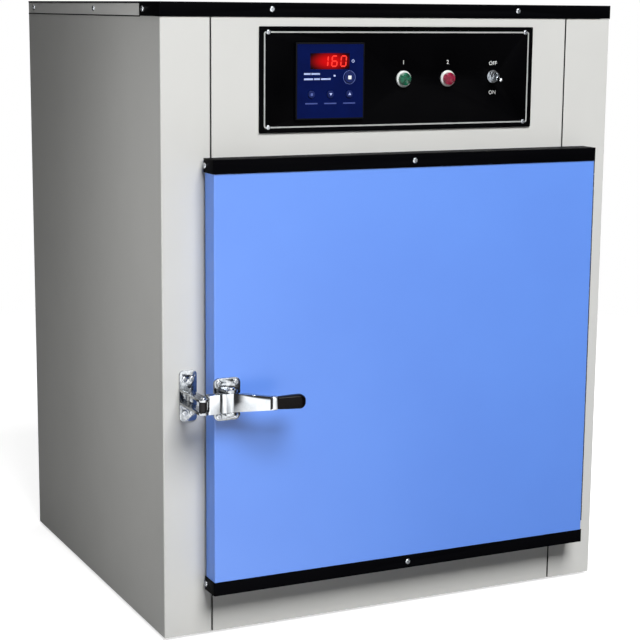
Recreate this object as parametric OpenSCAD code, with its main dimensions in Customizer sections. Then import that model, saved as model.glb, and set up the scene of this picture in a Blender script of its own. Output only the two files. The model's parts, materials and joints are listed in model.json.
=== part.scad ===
// Dry heat sterilizer: a bench-top hot air cabinet with a side-hung front door and a lever latch.
// X runs to the right along the front, Y runs into the depth and Z is up. The modules are drawn
// with Y = 0 on the cabinet's front face and Z = 0 under its base, and placed() sets them down.

/* [Cabinet] */
// Width of the cabinet
body_w = 650; // [600:5:800]
// Depth of the cabinet without its rear fittings
body_d = 557; // [500:1:700]
// Height of the cabinet without its feet
body_h = 802; // [660:1:980]
// Thickness of the painted outer sheet
sheet = 1.2; // [0.8:0.1:1.5]
// Width of the left front stile
stile_left = 65; // [55:1:72]
// Width of the right front stile
stile_right = 70; // [60:1:74]
// Depth of the folded edges behind the front panels
return_d = 15; // [8:1:20]
// Width of the folded edges round the back panel
rear_return = 25; // [15:1:40]
// Open seam between two outer panels
seam = 0.8; // [0.4:0.1:1.2]
// Height of the rim under the top sheet
rim_h = 16; // [12:1:24]

/* [Black trim strips] */
// Height of every trim strip
trim_h = 17.5; // [12:0.5:22]
// Thickness of every trim strip
trim_t = 1; // [0.6:0.1:1.2]
// How far the top strip runs back along each side
trim_wrap = 70; // [40:5:120]

/* [Chamber] */
// Space between the chamber and each side of the cabinet
wall_side = 97.5; // [90:0.5:110]
// Space under the chamber
space_below = 108.5; // [90:0.5:130]
// Space over the chamber, with the control compartment
space_above = 237; // [225:1:280]
// Space behind the chamber
space_behind = 102; // [95:1:130]
// Thickness of the stainless sheet
liner_t = 1; // [0.8:0.1:1.5]
// Width of the stainless frame round the chamber's mouth
mouth_frame = 20; // [18:1:22]
// Thickness of the glass wool
wool_t = 58; // [40:1:60]

/* [Door] */
// How far the door laps over the left of the chamber's mouth
door_lap_left = 42.5; // [38:0.5:50]
// How far the door laps over the right of the chamber's mouth
door_lap_right = 57.5; // [50:0.5:60]
// How far the door laps over the top and bottom of the mouth
door_lap = 48.5; // [40:0.5:52]
// Distance of the door's front from the cabinet's front
door_t = 35; // [30:1:45]
// Gap between the door's rim and the cabinet
door_gap = 4; // [3:0.5:6]
// Depth of the raised field that reaches into the chamber
plug_d = 12; // [8:1:16]

/* [Hinge] */
// Radius of the hinge pin
hinge_pin_r = 2.5; // [2:0.25:3]
// Thickness of the hinge leaves
leaf_t = 1.5; // [1.2:0.1:2]
// Width of each hinge leaf past its knuckles
leaf_w = 15; // [12:1:16]
// Number of knuckles, an odd number
knuckles = 13; // [9:2:17]

/* [Latch] */
// Height of the latch over the cabinet's base
latch_z = 316; // [280:1:340]
// Distance of the lever pin from the door's left edge
latch_in = 14; // [12:0.5:18]
// Distance of the lever pin from the door's front
latch_out = 19; // [18:0.5:26]
// Radius of the lever pin
latch_pin_r = 3; // [2.5:0.25:3.5]
// Height of the lever's hub
hub_h = 24; // [20:1:28]
// Reach of the nose past the lever pin
nose_l = 42; // [38:0.5:46]
// Radius of the strike roller
roller_r = 5; // [4:0.25:5.5]
// Length of the black grip
grip_l = 38; // [30:1:60]

/* [Controls] */
// Width of the black control plate
plate_w = 397; // [360:1:420]
// Height of the black control plate
plate_h = 131.5; // [120:0.5:136]
// Sideways place of the control plate's middle
plate_x = 3; // [-5:0.5:8]
// Distance of the control plate under the panels' top edge
plate_drop = 11; // [8:0.5:14]
// Width and height of the controller's bezel
bezel_w = 96; // [90:0.5:100]
// Travel of a controller key
key_travel = 0.8; // [0.4:0.1:1.2]
// Radius of an indicator lamp's bezel
lamp_r = 10.7; // [9:0.1:12]
// Reach of the switch lever past its pivot
switch_reach = 19; // [14:0.5:22]
// Lean of the switch lever from straight out
switch_lean = 14; // [8:1:20]

/* [Inside] */
// Height of the floor plate over the chamber's floor
floor_plate_z = 40; // [34:1:60]
// Spacing of the shelf wires
wire_pitch = 20; // [12:1:30]
// Radius of the shelf wires
wire_r = 1.25; // [1:0.05:2]
// Radius of the shelf's frame rod
rod_r = 3; // [2.5:0.25:4]
// Number of runner levels on each side
runner_levels = 4; // [3:1:5]
// Radius of the circulation fan
fan_r = 75; // [60:1:90]
// Number of fan blades
fan_blades = 18; // [12:1:24]

/* [Rear and base] */
// Height of the feet under the base
foot_h = 4; // [3:1:15]
// Radius of the exhaust vent's shutter
vent_r = 27; // [20:1:36]
// Radius of the mains gland's bore
gland_r = 4.5; // [3.5:0.25:5]

/* [Hidden] */
$fn = 48;

// Fits
run_gap = 0.05;
free_gap = 0.3;
bend_steps = 4;
bend_r = 2;
cut = 1;

// Colours
grey_paint = "#d3d4d1";
shade_paint = "#8b8e88";
black_paint = "#17171a";
door_blue = "#6d9cf0";
chrome = "#d9dcdf";
stainless = "#c2c5c7";
glass_wool_yellow = "#e6d9a0";
rubber_black = "#26262a";

// Cabinet
x_left = -body_w/2;
x_right = body_w/2;
panel_top = body_h - sheet - rim_h - seam;
fascia_x0 = x_left + stile_left + seam;
fascia_x1 = x_right - stile_right - seam;
rim_z = panel_top + seam;
lip_h = 14;
pan_rim = 24;
screw_r = 1.6;
screw_l = 5;
hole_reach = 12;
pan_head_r = 3.8;
pan_head_h = 2;
trim_screw_in = 147;
trim_side_screw_y = 57;
rim_screw_y = [250, body_d - 30];

// Chamber
ch_w = body_w - 2*wall_side;
ch_h = body_h - space_below - space_above;
ch_d = body_d - space_behind;
ch_z0 = space_below;
ch_z1 = ch_z0 + ch_h;
ch_corner = 6;
mouth_gap = 0.6;
wool_round = 20;
wool_gap = 0.2;

// Door
door_x0 = -ch_w/2 - door_lap_left;
door_x1 = ch_w/2 + door_lap_right;
door_z0 = ch_z0 - door_lap;
door_z1 = ch_z1 + door_lap;
door_lip = 12;
door_back = -door_gap;
lip_back = door_back - liner_t;
door_mid_x = (door_x0 + door_x1)/2;
field_in = 12;
field_round = 18;
seal_foot = [4, 16];
seal_bulb = [6, 14];
seal_foot_t = 1.6;

// Hinge
knuckle_r = hinge_pin_r + run_gap + leaf_t;
hinge_x = door_x1 + knuckle_r + free_gap;
hinge_y = -knuckle_r - free_gap;
hinge_z0 = door_z0 + trim_h + 1;
hinge_len = door_z1 - door_z0 - 2*trim_h - 2;
knuckle_pitch = hinge_len/knuckles;
hinge_screws = 7;
sink_r = 3;

// Latch, drawn about its pin
latch_x = door_x0 + latch_in;
latch_y = -door_t - latch_out;
hub_r = 8;
nose_t = 7;
nose_h = 12;
nose_inner_y = 1.2;
ear_t = 4;
ear_gap = 0.3;
base_t = 3.5;
base_w = 35;
base_h = 54;
base_x = latch_x + 2;
base_round = 7;
base_screw_x = 11.5;
base_screw_z = 21.5;
head_gap = 1.1;
scoop_r = 6.5;
arm_end = [45, -27];
arm_t = 6;
arm_end_h = 16;
collar_t = 6;
collar_back = 1;
collar_rise = 1;
collar_round = 2.5;
grip_t = 13;
grip_root_t = 9;
grip_h = 18;
grip_root_h = 13.5;
grip_end_r = 6;
grip_edge_r = 5;
grip_steps = 8;
tang_t = 4;
tang_h = 9;
tang_l = grip_l - 8;
grip_x0 = collar_t - collar_back;
grip_lean = 5;

// Strike
roller_x = latch_x - nose_l + 1;
roller_y = latch_y + nose_inner_y - nose_t - free_gap - roller_r;
roller_h = 13;
roller_pin_r = 2;
strike_ear_r = 6.8;
strike_ear_t = 3;
strike_w = 23;
strike_h = 65;
strike_t = 2.5;
strike_round = 5;
strike_x = roller_x + 5;
strike_screw_x = 5;
strike_screw_in = 11;
strike_slot_w = 4;
strike_slot_h = 13;

// Overall depth, for the place of the origin
grip_reach = door_t + latch_out - arm_end[1] + (grip_x0 + grip_l - grip_t/2)*sin(grip_lean) + grip_t/2;
gland_reach = 28;
y_offset = -(body_d + gland_reach - grip_reach)/2;

// Controls
plate_t = 2;
plate_z = panel_top - plate_drop - plate_h/2;
plate_screw_in = 12;
plate_screw_down = 7;
bezel_x = plate_x - 103;
bezel_z = plate_z - 2;
bezel_d = 5;
bezel_round = 2;
case_w = bezel_w - 6;
case_d = 62;
case_gap = 0.5;
face_w = bezel_w - 4;
face_t = 1;
display_w = 55;
display_h = 20;
display_x = bezel_x - 0.8;
display_z = bezel_z + 24.9;
display_seat = 3;
display_sunk = 0.2;
key_r = 4.5;
key_h = key_travel + 0.6;
key_root = 2;
key_round = 0.5;
key_gap = 0.4;
key_pocket = key_root + key_travel + 1.2;
key_z = bezel_z - 16.3;
key_dx = 26.5;
ring_key_r = 7;
ring_key_z = bezel_z + 4.5;
lamp_x = [plate_x + 3.7, plate_x + 69];
lamp_z = plate_z - 0.5;
lamp_ring_h = 2.5;
lamp_round = 1.5;
lens_r = lamp_r - 2.7;
lens_root = 8;
lens_side = 3.8;
lens_dome = 2.2;
lamp_body_r = lens_r + 1;
lamp_body_l = 28;
switch_x = plate_x + 137.5;
switch_z = plate_z + 1.5;
switch_thread_r = 6;
switch_neck_l = 10;
switch_nut_flats = 14;
switch_nut_h = 3;
switch_washer_r = 8.4;
switch_washer_t = 1;
switch_block_w = 20;
switch_block_h = 28;
switch_pivot_y = -7;
switch_pivot_r = 1.2;
switch_pivot_l = 8.6;
switch_root_r = 2;
switch_waist_r = 1.8;
switch_tip_r = 3;

// Inside
shelf_half = ch_w/2 - 8;
shelf_y0 = door_back + plug_d + 13;
guard_d = 45;
shelf_y1 = ch_d - guard_d - 5;
rack_post_d = 5;
runner_w = 14;
runner_t = 1.2;
rack_z0 = ch_z0 + floor_plate_z + 25;
rack_z1 = ch_z1 - 20;
rack_in = 40;
rack_foot = 24;
rack_bend = 15;
rack_face = 9;
runner_rise = 18;
runner_z0 = rack_z0 + 20;
runner_z1 = rack_z1 - 40;
runner_step = (runner_z1 - runner_z0)/(runner_levels - 1);
shelf_corner = 14;
shelf_bar_r = rod_r - 0.8;
wire_sunk = 1.4;
fan_z = ch_z0 + ch_h/2;
shaft_r = 4;
shaft_grip = 24;
motor_r = 38;
motor_l = 44;
motor_gap = 14;
motor_flange = 8;
motor_boss_r = 12;
motor_boss_h = 6;
fan_depth = 26;
fan_plate_t = 1.2;
fan_hub_r = 11;
fan_hub_l = 16;
fan_gap = 8;
fan_eye = 0.72;
guard_in = 35;
guard_round = 14;
guard_slot_pitch = 24;
guard_slot_w = 8;
guard_slot_l = 22;
heater_r = 4.2;
heater_z = ch_z0 + 18;
heater_bend_r = 32;
heater_x = [for (i = [-1:1]) i*(ch_w/2 - 92)];
heater_front = 60;
heater_tail = 24;
bush_r = 7;
bush_l = 22;
slot_pitch_x = 90;
slot_pitch_y = 42;
slot_l = 50;
slot_r = 4;
slot_edge = 15;
cradle_y = [ch_d*0.22, ch_d*0.78];
cradle_w = 40;
cradle_foot = 20;
cradle_in = 20;
tray_z = ch_z1 + liner_t + wool_t + 6;
tray_rim = 20;
relay_x = 120;
relay_y = 180;
relay_w = 60;
relay_h = 30;
relay_l = 70;
relay_foot = 4;
fin_pitch = 8;
fin_gap = 5;
fin_z = 8;
probe_x = -ch_w/2 + 60;
probe_z = ch_z1 - 50;
probe_r = 3;
probe_l = 80;
probe_tail = 30;
probe_collar_r = 7.5;
probe_head_r = 5.5;

// Rear and base
foot_r = 18;
foot_in = 45;
foot_stem_r = 6;
vent_z = ch_z1 - 38;
vent_tube_r = vent_r - 5;
vent_flange = 11;
vent_screw_r = vent_r + 6;
vent_plate_t = 2;
vent_disc_t = 1.5;
vent_rivet_r = 2;
gland_x = x_right - 95;
gland_z = 60;
gland_thread_r = 10;
gland_thread_l = 12;
gland_hex_r = 14;
gland_hex_h = 7;
gland_nut_r = 14.5;
gland_nut_h = 5;
gland_dome_r = 12;
gland_mouth_r = 8;
gland_dome_h = 6;
block_x = gland_x - 70;
block_y = body_d - 60;
block_w = 48;
block_h = 18;
block_l = 26;
block_pole = 16;
block_wire_r = 2.5;
block_screw_r = 2.2;
louvre_w = 60;
louvre_r = 5;
louvre_pitch = 16;

// A vector turned a quarter turn to the left
function turn_left(v) = [-v[1], v[0]];
function unit(v) = v/norm(v);
function side_of(u, v) = sign(u[0]*v[1] - u[1]*v[0]);
function backwards(list) = [for (i = [len(list) - 1:-1:0]) list[i]];

// The points of an arc about a centre
function arc(c, r, a0, a1, n = 6) =
    [for (i = [0:n]) let (a = a0 + (a1 - a0)*i/n) c + r*[cos(a), sin(a)]];

// The points of a rectangle with round corners
function round_box(x0, y0, x1, y1, r, n = 6) = concat(
    arc([x1 - r, y0 + r], r, -90, 0, n),
    arc([x1 - r, y1 - r], r, 0, 90, n),
    arc([x0 + r, y1 - r], r, 90, 180, n),
    arc([x0 + r, y0 + r], r, 180, 270, n));

// The points of a bent strip's edge round one corner, at a distance d to the left of its path
function bend_points(p, u, v, d, r) =
    let (side = side_of(u, v), angle = acos(u*v), out = -side*turn_left(u),
         centre = p - u*r*tan(angle/2) - r*out, start = atan2(out[1], out[0]))
    [for (i = [0:bend_steps]) let (a = start + side*angle*i/bend_steps)
        centre + (r - side*d)*[cos(a), sin(a)]];

// One edge of a bent strip
function strip_edge(path, d, r) =
    let (n = len(path) - 1, u = [for (i = [0:n - 1]) unit(path[i + 1] - path[i])])
    [for (i = [0:n]) each
        i == 0 ? [path[0] + d*turn_left(u[0])] :
        i == n ? [path[n] + d*turn_left(u[n - 1])] :
        bend_points(path[i], u[i - 1], u[i], d, r)];

// A sheet bent along a path, with its thickness to the left of the path
module bent_strip(path, thick, r = bend_r) {
    polygon(concat(strip_edge(path, 0, r), backwards(strip_edge(path, thick, r))));
}

module box_outline(x0, y0, x1, y1, r) {
    polygon(round_box(x0, y0, x1, y1, r));
}

// Sets a piece down in the part's own frame
module placed() {
    translate([0, y_offset, foot_h]) children();
}

// Flat outlines carried along one axis: along X an outline lies in Y and Z, along Y in X and Z
module along_x(x0, len) {
    translate([x0, 0, 0]) rotate([90, 0, 90]) linear_extrude(len) children();
}

module along_y(y0, len) {
    translate([0, y0 + len, 0]) rotate([90, 0, 0]) linear_extrude(len) children();
}

module along_z(z0, len) {
    translate([0, 0, z0]) linear_extrude(len) children();
}

// Turns a piece drawn along +Z so that it points out of one side of the cabinet
module to_front() {
    rotate([90, 0, 0]) children();
}

module to_back() {
    rotate([-90, 0, 0]) children();
}

module to_left() {
    rotate([0, -90, 0]) children();
}

module to_right() {
    rotate([0, 90, 0]) children();
}

module ring(r_out, r_in, h) {
    difference() {
        cylinder(h = h, r = r_out);
        translate([0, 0, -cut]) cylinder(h = h + 2*cut, r = r_in);
    }
}

// A round-headed screw with a cross recess, head up and shank down
module pan_screw(len, r = pan_head_r, h = pan_head_h) {
    difference() {
        rotate_extrude() polygon(concat([[0, 0], [r, 0]], arc([r - h*0.8, 0.2*h], h*0.8, 0, 90), [[0, h]]));
        for (a = [0, 90]) rotate(a) translate([-0.55*r, -0.4, 0.4*h]) cube([1.1*r, 0.8, h]);
    }
    translate([0, 0, -len]) cylinder(h = len, r = screw_r);
}

// A countersunk screw whose head fills a sink in a thin leaf
module flush_screw(len) {
    translate([0, 0, -leaf_t]) cylinder(h = leaf_t - 0.1, r1 = screw_r, r2 = sink_r - 0.1);
    translate([0, 0, -len]) cylinder(h = len - leaf_t + 0.01, r = screw_r);
}

// A round hole through sheets near a place
module hole(r) {
    translate([0, 0, -hole_reach]) cylinder(h = 2*hole_reach, r = r);
}

module screw_hole() {
    hole(screw_r + run_gap);
}

// Outer panels

module base_pan() {
    color(shade_paint) placed() difference() {
        union() {
            along_y(sheet + seam, body_d - 2*sheet - 2*seam) bent_strip([
                [x_left + sheet, pan_rim], [x_left + sheet, 0],
                [x_right - sheet, 0], [x_right - sheet, pan_rim]], sheet);
            for (y = [sheet + seam, body_d - 2*sheet - seam])
                along_y(y, sheet)
                    translate([x_left + 2*sheet, 0]) square([body_w - 4*sheet, pan_rim]);
        }
        foot_places() hole(foot_stem_r + run_gap);
    }
}

module foot_places() {
    for (x = [x_left + foot_in, x_right - foot_in], y = [foot_in, body_d - foot_in])
        translate([x, y, 0]) children();
}

module feet() {
    color(rubber_black) placed() foot_places() rotate_extrude() polygon([
        [0, -foot_h], [foot_r - 1, -foot_h], [foot_r, -foot_h + 1], [foot_r - 1.5, 0],
        [foot_stem_r, 0], [foot_stem_r, sheet], [foot_stem_r + 1.5, sheet],
        [foot_stem_r + 0.5, sheet + 3], [0, sheet + 3]]);
}

// One side with its front stile, rear return and the lip that the rim is screwed to
module side_panel(stile) {
    along_z(0, panel_top) bent_strip([
        [x_left + rear_return, body_d], [x_left, body_d], [x_left, 0],
        [x_left + stile, 0], [x_left + stile, return_d]], sheet);
    along_z(panel_top - lip_h, lip_h + seam + rim_h - sheet)
        translate([x_left + sheet, 20]) square([sheet, body_d - 40]);
}

// The room of the base pan, which the folded edges of the outer panels stop over
module pan_room() {
    translate([x_left + 2*sheet, sheet + seam, -cut])
        cube([body_w - 4*sheet, body_d - 2*(sheet + seam), pan_rim + seam + cut]);
}

module left_side_panel() {
    color(grey_paint) placed() difference() {
        side_panel(stile_left);
        pan_room();
        rim_screw_places() screw_hole();
        trim_side_screw_place() screw_hole();
        strike_screw_places() screw_hole();
    }
}

module right_side_panel() {
    color(grey_paint) placed() difference() {
        mirror([1, 0, 0]) side_panel(stile_right);
        pan_room();
        mirror([1, 0, 0]) {
            rim_screw_places() screw_hole();
            trim_side_screw_place() screw_hole();
        }
        fixed_leaf_screws() screw_hole();
    }
}

// Places on the left side's rim, pointing out to the left
module rim_screw_places() {
    for (y = rim_screw_y) translate([x_left, y, rim_z + rim_h/2]) to_left() children();
}

module trim_side_screw_place() {
    translate([x_left - trim_t, trim_side_screw_y, rim_z + rim_h/2]) to_left() children();
}

module trim_front_screw_places() {
    for (x = [x_left + trim_screw_in, x_right - trim_screw_in])
        translate([x, -trim_t, rim_z + rim_h/2 + 1]) to_front() children();
}

module front_fascia() {
    mouth = mouth_frame + mouth_gap;
    color(grey_paint) placed() difference() {
        along_z(0, panel_top) bent_strip([
            [fascia_x0, return_d], [fascia_x0, 0], [fascia_x1, 0], [fascia_x1, return_d]], sheet);
        pan_room();
        along_y(-cut, sheet + 2*cut) box_outline(
            -ch_w/2 - mouth, ch_z0 - mouth, ch_w/2 + mouth, ch_z1 + mouth, ch_corner);
        control_cuts();
    }
}

module back_panel() {
    x0 = x_left + rear_return + seam;
    color(shade_paint) placed() {
        difference() {
            along_z(0, panel_top) bent_strip([
                [-x0, body_d - return_d], [-x0, body_d], [x0, body_d], [x0, body_d - return_d]],
                sheet);
            pan_room();
            louvre_places() translate([-louvre_w/2 + 1, -sheet - cut, -louvre_r + 1])
                cube([louvre_w - 2, sheet + 2*cut, louvre_r - 1.5]);
            vent_place() hole(vent_tube_r + run_gap);
            vent_screw_places() screw_hole();
            gland_place() hole(gland_thread_r + run_gap);
        }
        louvre_places() louvre_hood();
    }
}

// Two banks of louvres: over the motor and beside the control compartment
module louvre_places() {
    for (side = [-1, 1], row = [0:5])
        translate([side*(ch_w/2 - 50), body_d, tray_z + 30 + row*louvre_pitch]) children();
    for (row = [0:3]) translate([0, body_d, fan_z - 30 + row*louvre_pitch]) children();
}

// A pressed hood, open below
module louvre_hood() {
    intersection() {
        rotate([0, 90, 0]) translate([0, 0, -louvre_w/2]) ring(louvre_r, louvre_r - 1, louvre_w);
        translate([-louvre_w/2, 0, 0]) cube([louvre_w, louvre_r, louvre_r]);
    }
    for (x = [-louvre_w/2, louvre_w/2 - 1]) intersection() {
        translate([x, 0, 0]) rotate([0, 90, 0]) cylinder(h = 1, r = louvre_r);
        translate([x, 0, 0]) cube([1, louvre_r, louvre_r]);
    }
}

module cover_rim() {
    color(grey_paint) placed() difference() {
        along_z(rim_z, rim_h) difference() {
            box_outline(x_left, 0, x_right, body_d, bend_r);
            box_outline(x_left + sheet, sheet, x_right - sheet, body_d - sheet, bend_r - sheet);
        }
        both_sides() {
            rim_screw_places() screw_hole();
            trim_side_screw_place() screw_hole();
        }
        trim_front_screw_places() screw_hole();
    }
}

module both_sides() {
    children();
    mirror([1, 0, 0]) children();
}

module top_cover() {
    color(black_paint) placed() along_z(body_h - sheet, sheet)
        box_outline(x_left, 0, x_right, body_d, bend_r);
}

// The strip across the front, folded round both corners
module top_front_trim() {
    color(black_paint) placed() difference() {
        along_z(body_h - trim_h, trim_h) bent_strip([
            [x_left - trim_t, trim_wrap], [x_left - trim_t, -trim_t],
            [x_right + trim_t, -trim_t], [x_right + trim_t, trim_wrap]], trim_t);
        both_sides() trim_side_screw_place() screw_hole();
        trim_front_screw_places() screw_hole();
    }
}

module cabinet_screws() {
    color(chrome) placed() {
        both_sides() {
            rim_screw_places() pan_screw(screw_l);
            trim_side_screw_place() pan_screw(screw_l);
        }
        trim_front_screw_places() pan_screw(screw_l);
        fixed_leaf_screws() flush_screw(leaf_t + screw_l);
        strike_screw_places() pan_screw(strike_t + screw_l);
        vent_screw_places() pan_screw(screw_l, 3);
    }
}

// Control panel

module plate_screw_places() {
    for (sx = [-1, 1], sz = [-1, 1])
        translate([plate_x + sx*(plate_w/2 - plate_screw_in), -plate_t,
            plate_z + sz*(plate_h/2 - plate_screw_down)]) to_front() children();
}

module lamp_places() {
    for (x = lamp_x) translate([x, 0, lamp_z]) to_front() children();
}

module switch_place() {
    translate([switch_x, 0, switch_z]) to_front() children();
}

// The openings that the control plate and the fascia behind it share
module control_cuts() {
    along_y(-plate_t - cut, plate_t + sheet + 2*cut)
        translate([bezel_x, bezel_z]) square(case_w + 2*case_gap, center = true);
    lamp_places() hole(lamp_body_r + free_gap);
    switch_place() hole(switch_thread_r + run_gap);
    plate_screw_places() screw_hole();
}

module control_plate() {
    color(black_paint) placed() difference() {
        along_y(-plate_t, plate_t) box_outline(
            plate_x - plate_w/2, plate_z - plate_h/2, plate_x + plate_w/2, plate_z + plate_h/2, 1.5);
        control_cuts();
    }
}

module control_plate_screws() {
    color(chrome) placed() plate_screw_places() pan_screw(plate_t + screw_l, 3.2, 1.6);
}

// Key places on the controller's face: three in a row and one ringed key over the right one
module row_key_place(i) {
    translate([bezel_x + i*key_dx, -plate_t - bezel_d, key_z]) to_front() children();
}

module ring_key_place() {
    translate([bezel_x + key_dx, -plate_t - bezel_d, ring_key_z]) to_front() children();
}

module key_pocket(r) {
    translate([0, 0, -key_pocket]) cylinder(h = 2*key_pocket, r = r + key_gap);
}

module key_pockets() {
    for (i = [-1:1]) row_key_place(i) key_pocket(key_r);
    ring_key_place() key_pocket(ring_key_r);
}

module controller_case() {
    front = -plate_t - bezel_d;
    color("#20222a") placed() difference() {
        union() {
            along_y(front, bezel_d) box_outline(bezel_x - bezel_w/2, bezel_z - bezel_w/2,
                bezel_x + bezel_w/2, bezel_z + bezel_w/2, bezel_round);
            along_y(-plate_t, case_d) translate([bezel_x, bezel_z]) square(case_w, center = true);
        }
        along_y(front - cut, cut + face_t) translate([bezel_x, bezel_z]) square(face_w, center = true);
        display_window_space();
        key_pockets();
    }
}

// The display's window, from before the face to its seat in the case
module display_window_space() {
    along_y(-plate_t - bezel_d - cut, cut + display_seat)
        translate([display_x, display_z]) square([display_w, display_h], center = true);
}

module controller_face() {
    color("#1c3a86") placed() difference() {
        along_y(-plate_t - bezel_d, face_t)
            translate([bezel_x, bezel_z]) square(face_w, center = true);
        display_window_space();
        key_pockets();
    }
}

module display_window() {
    color("#5a0f12") placed() intersection() {
        display_window_space();
        along_y(-plate_t - bezel_d + display_sunk, display_seat)
            translate([display_x, display_z]) square(2*display_w, center = true);
    }
}

// A key cap with a rounded edge on a stem that reaches into the case
module key_cap(r) {
    rotate_extrude() polygon(concat([[0, -key_root], [r, -key_root]],
        arc([r - key_round, key_h - key_round], key_round, 0, 90, 3), [[0, key_h]]));
}

module set_key() {
    color("#dfe3ee") placed() row_key_place(-1) key_cap(key_r);
}

module down_key() {
    color("#dfe3ee") placed() row_key_place(0) key_cap(key_r);
}

module up_key() {
    color("#dfe3ee") placed() row_key_place(1) key_cap(key_r);
}

module ring_key() {
    color("#dfe3ee") placed() ring_key_place() key_cap(ring_key_r);
}

// The lamps' rings, with their holders behind the plate
module lamp_bezels() {
    color("#e4e6e4") placed() lamp_places() translate([0, 0, plate_t]) difference() {
        union() {
            rotate_extrude() polygon(concat([[0, 0], [lamp_r, 0]],
                arc([lamp_r - lamp_round, lamp_ring_h - lamp_round], lamp_round, 0, 90),
                [[0, lamp_ring_h]]));
            translate([0, 0, -lamp_body_l]) cylinder(h = lamp_body_l + cut, r = lamp_body_r);
        }
        translate([0, 0, -lens_root]) cylinder(h = lens_root + lamp_ring_h + cut, r = lens_r);
    }
}

// A lens seated in its ring, with a straight side under a shallow dome
module lamp_lens() {
    side_z = lens_root + lamp_ring_h + lens_side;
    dome_r = (lens_r*lens_r + lens_dome*lens_dome)/(2*lens_dome);
    dome_z = side_z + lens_dome - dome_r;
    translate([0, 0, plate_t - lens_root]) rotate_extrude() polygon(concat([[0, 0], [lens_r, 0]],
        arc([0, dome_z], dome_r, asin((side_z - dome_z)/dome_r), 86), [[0, side_z + lens_dome]]));
}

module green_lamp_lens() {
    color("#1f8f63") placed() translate([lamp_x[0], 0, lamp_z]) to_front() lamp_lens();
}

module red_lamp_lens() {
    color("#c01f2a") placed() translate([lamp_x[1], 0, lamp_z]) to_front() lamp_lens();
}

module hex_nut(flats, h, r_in) {
    difference() {
        cylinder(h = h, r = flats/2/cos(30), $fn = 6);
        translate([0, 0, -cut]) cylinder(h = h + 2*cut, r = r_in);
    }
}

// The threaded neck, its hexagon nut and the switch's block behind the fascia
module switch_body() {
    color(chrome) placed() switch_place() difference() {
        union() {
            translate([0, 0, -sheet]) cylinder(h = switch_neck_l + sheet, r = switch_thread_r);
            translate([0, 0, plate_t]) cylinder(h = switch_washer_t, r = switch_washer_r);
            translate([0, 0, plate_t + switch_washer_t]) rotate(15)
                hex_nut(switch_nut_flats, switch_nut_h, switch_thread_r - 1);
            translate([0, 0, -sheet - switch_block_w]) linear_extrude(switch_block_w)
                square([switch_block_w, switch_block_h], center = true);
        }
        translate([0, 0, 3]) cylinder(h = 3.2, r = 3.6);
        translate([0, 0, 6]) cylinder(h = 5, r1 = 3.4, r2 = 5.3);
        translate([-switch_pivot_l/2 - run_gap, 0, -switch_pivot_y]) to_right()
            cylinder(h = switch_pivot_l + 2*run_gap, r = switch_pivot_r + run_gap);
    }
}

// The bat-shaped lever, on a cross pin in the neck
module switch_lever() {
    color(chrome) placed() translate([switch_x, switch_pivot_y, switch_z]) {
        translate([-switch_pivot_l/2, 0, 0]) to_right() cylinder(h = switch_pivot_l, r = switch_pivot_r);
        rotate([switch_lean, 0, 0]) to_front() rotate_extrude() polygon(concat(
            arc([0, 0], switch_root_r, -90, 0), [[switch_waist_r, 1.5]],
            arc([0, switch_reach - switch_tip_r], switch_tip_r, 0, 90)));
    }
}

// The sheet over the glass wool that carries the power relay
module control_tray() {
    color(stainless) placed() along_y(return_d + 5, body_d - 2*return_d - 12) bent_strip([
        [x_left + sheet, tray_z + tray_rim], [x_left + sheet, tray_z],
        [x_right - sheet, tray_z], [x_right - sheet, tray_z + tray_rim]], sheet);
}

// A finned heat sink with the relay on top
module power_relay() {
    color("#33363b") placed() translate([relay_x, relay_y, tray_z + sheet]) along_y(0, relay_l) {
        difference() {
            translate([-relay_w/2, 0]) square([relay_w, relay_h]);
            for (i = [-3:3]) translate([i*fin_pitch - fin_gap/2, fin_z]) square([fin_gap, relay_h]);
        }
        translate([-relay_w/2 - relay_foot, 0]) square([relay_w + 2*relay_foot, 3]);
    }
}

// Chamber

module inner_chamber() {
    color(stainless) placed() difference() {
        union() {
            along_y(0, ch_d + liner_t) grown_mouth(liner_t);
            along_y(0, liner_t) box_outline(-ch_w/2 - mouth_frame, ch_z0 - mouth_frame,
                ch_w/2 + mouth_frame, ch_z1 + mouth_frame, ch_corner);
        }
        along_y(-cut, ch_d + cut) grown_mouth(0);
        fan_place() translate([0, 0, -5]) cylinder(h = 10, r = 12);
        translate([0, ch_d, vent_z]) to_back() translate([0, 0, -5])
            cylinder(h = 10, r = vent_tube_r + run_gap);
        heater_leg_places() translate([0, 0, -5]) cylinder(h = 10, r = heater_r + free_gap);
        probe_place() translate([0, 0, -5]) cylinder(h = 10, r = probe_r + free_gap);
    }
}

module fan_place() {
    translate([0, ch_d, fan_z]) to_back() children();
}

module probe_place() {
    translate([probe_x, ch_d, probe_z]) to_back() children();
}

module heater_leg_places() {
    for (x = heater_x, side = [-1, 1])
        translate([x + side*heater_bend_r, ch_d, heater_z]) to_back() children();
}

// The wool jacket, with channels for what passes through it
module glass_wool() {
    jacket = liner_t + wool_t;
    y0 = return_d + 3;
    deep = jacket + 20;
    color(glass_wool_yellow) placed() difference() {
        along_y(y0, ch_d + jacket - y0) box_outline(-ch_w/2 - jacket, ch_z0 - jacket,
            ch_w/2 + jacket, ch_z1 + jacket, wool_round);
        along_y(y0 - cut, ch_d + liner_t - y0 + cut + wool_gap) grown_mouth(liner_t + wool_gap);
        fan_place() cylinder(h = deep, r = motor_r + 12);
        translate([0, ch_d, vent_z]) to_back() cylinder(h = deep, r = vent_tube_r + 2);
        heater_leg_places() cylinder(h = deep, r = bush_r + 2);
        probe_place() cylinder(h = deep, r = probe_collar_r + 0.5);
        for (y = cradle_y) translate([-ch_w/2 - wool_t/2, y - cradle_w/2 - 2, 0])
            cube([ch_w + wool_t, cradle_w + 4, ch_z0]);
    }
}

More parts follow.
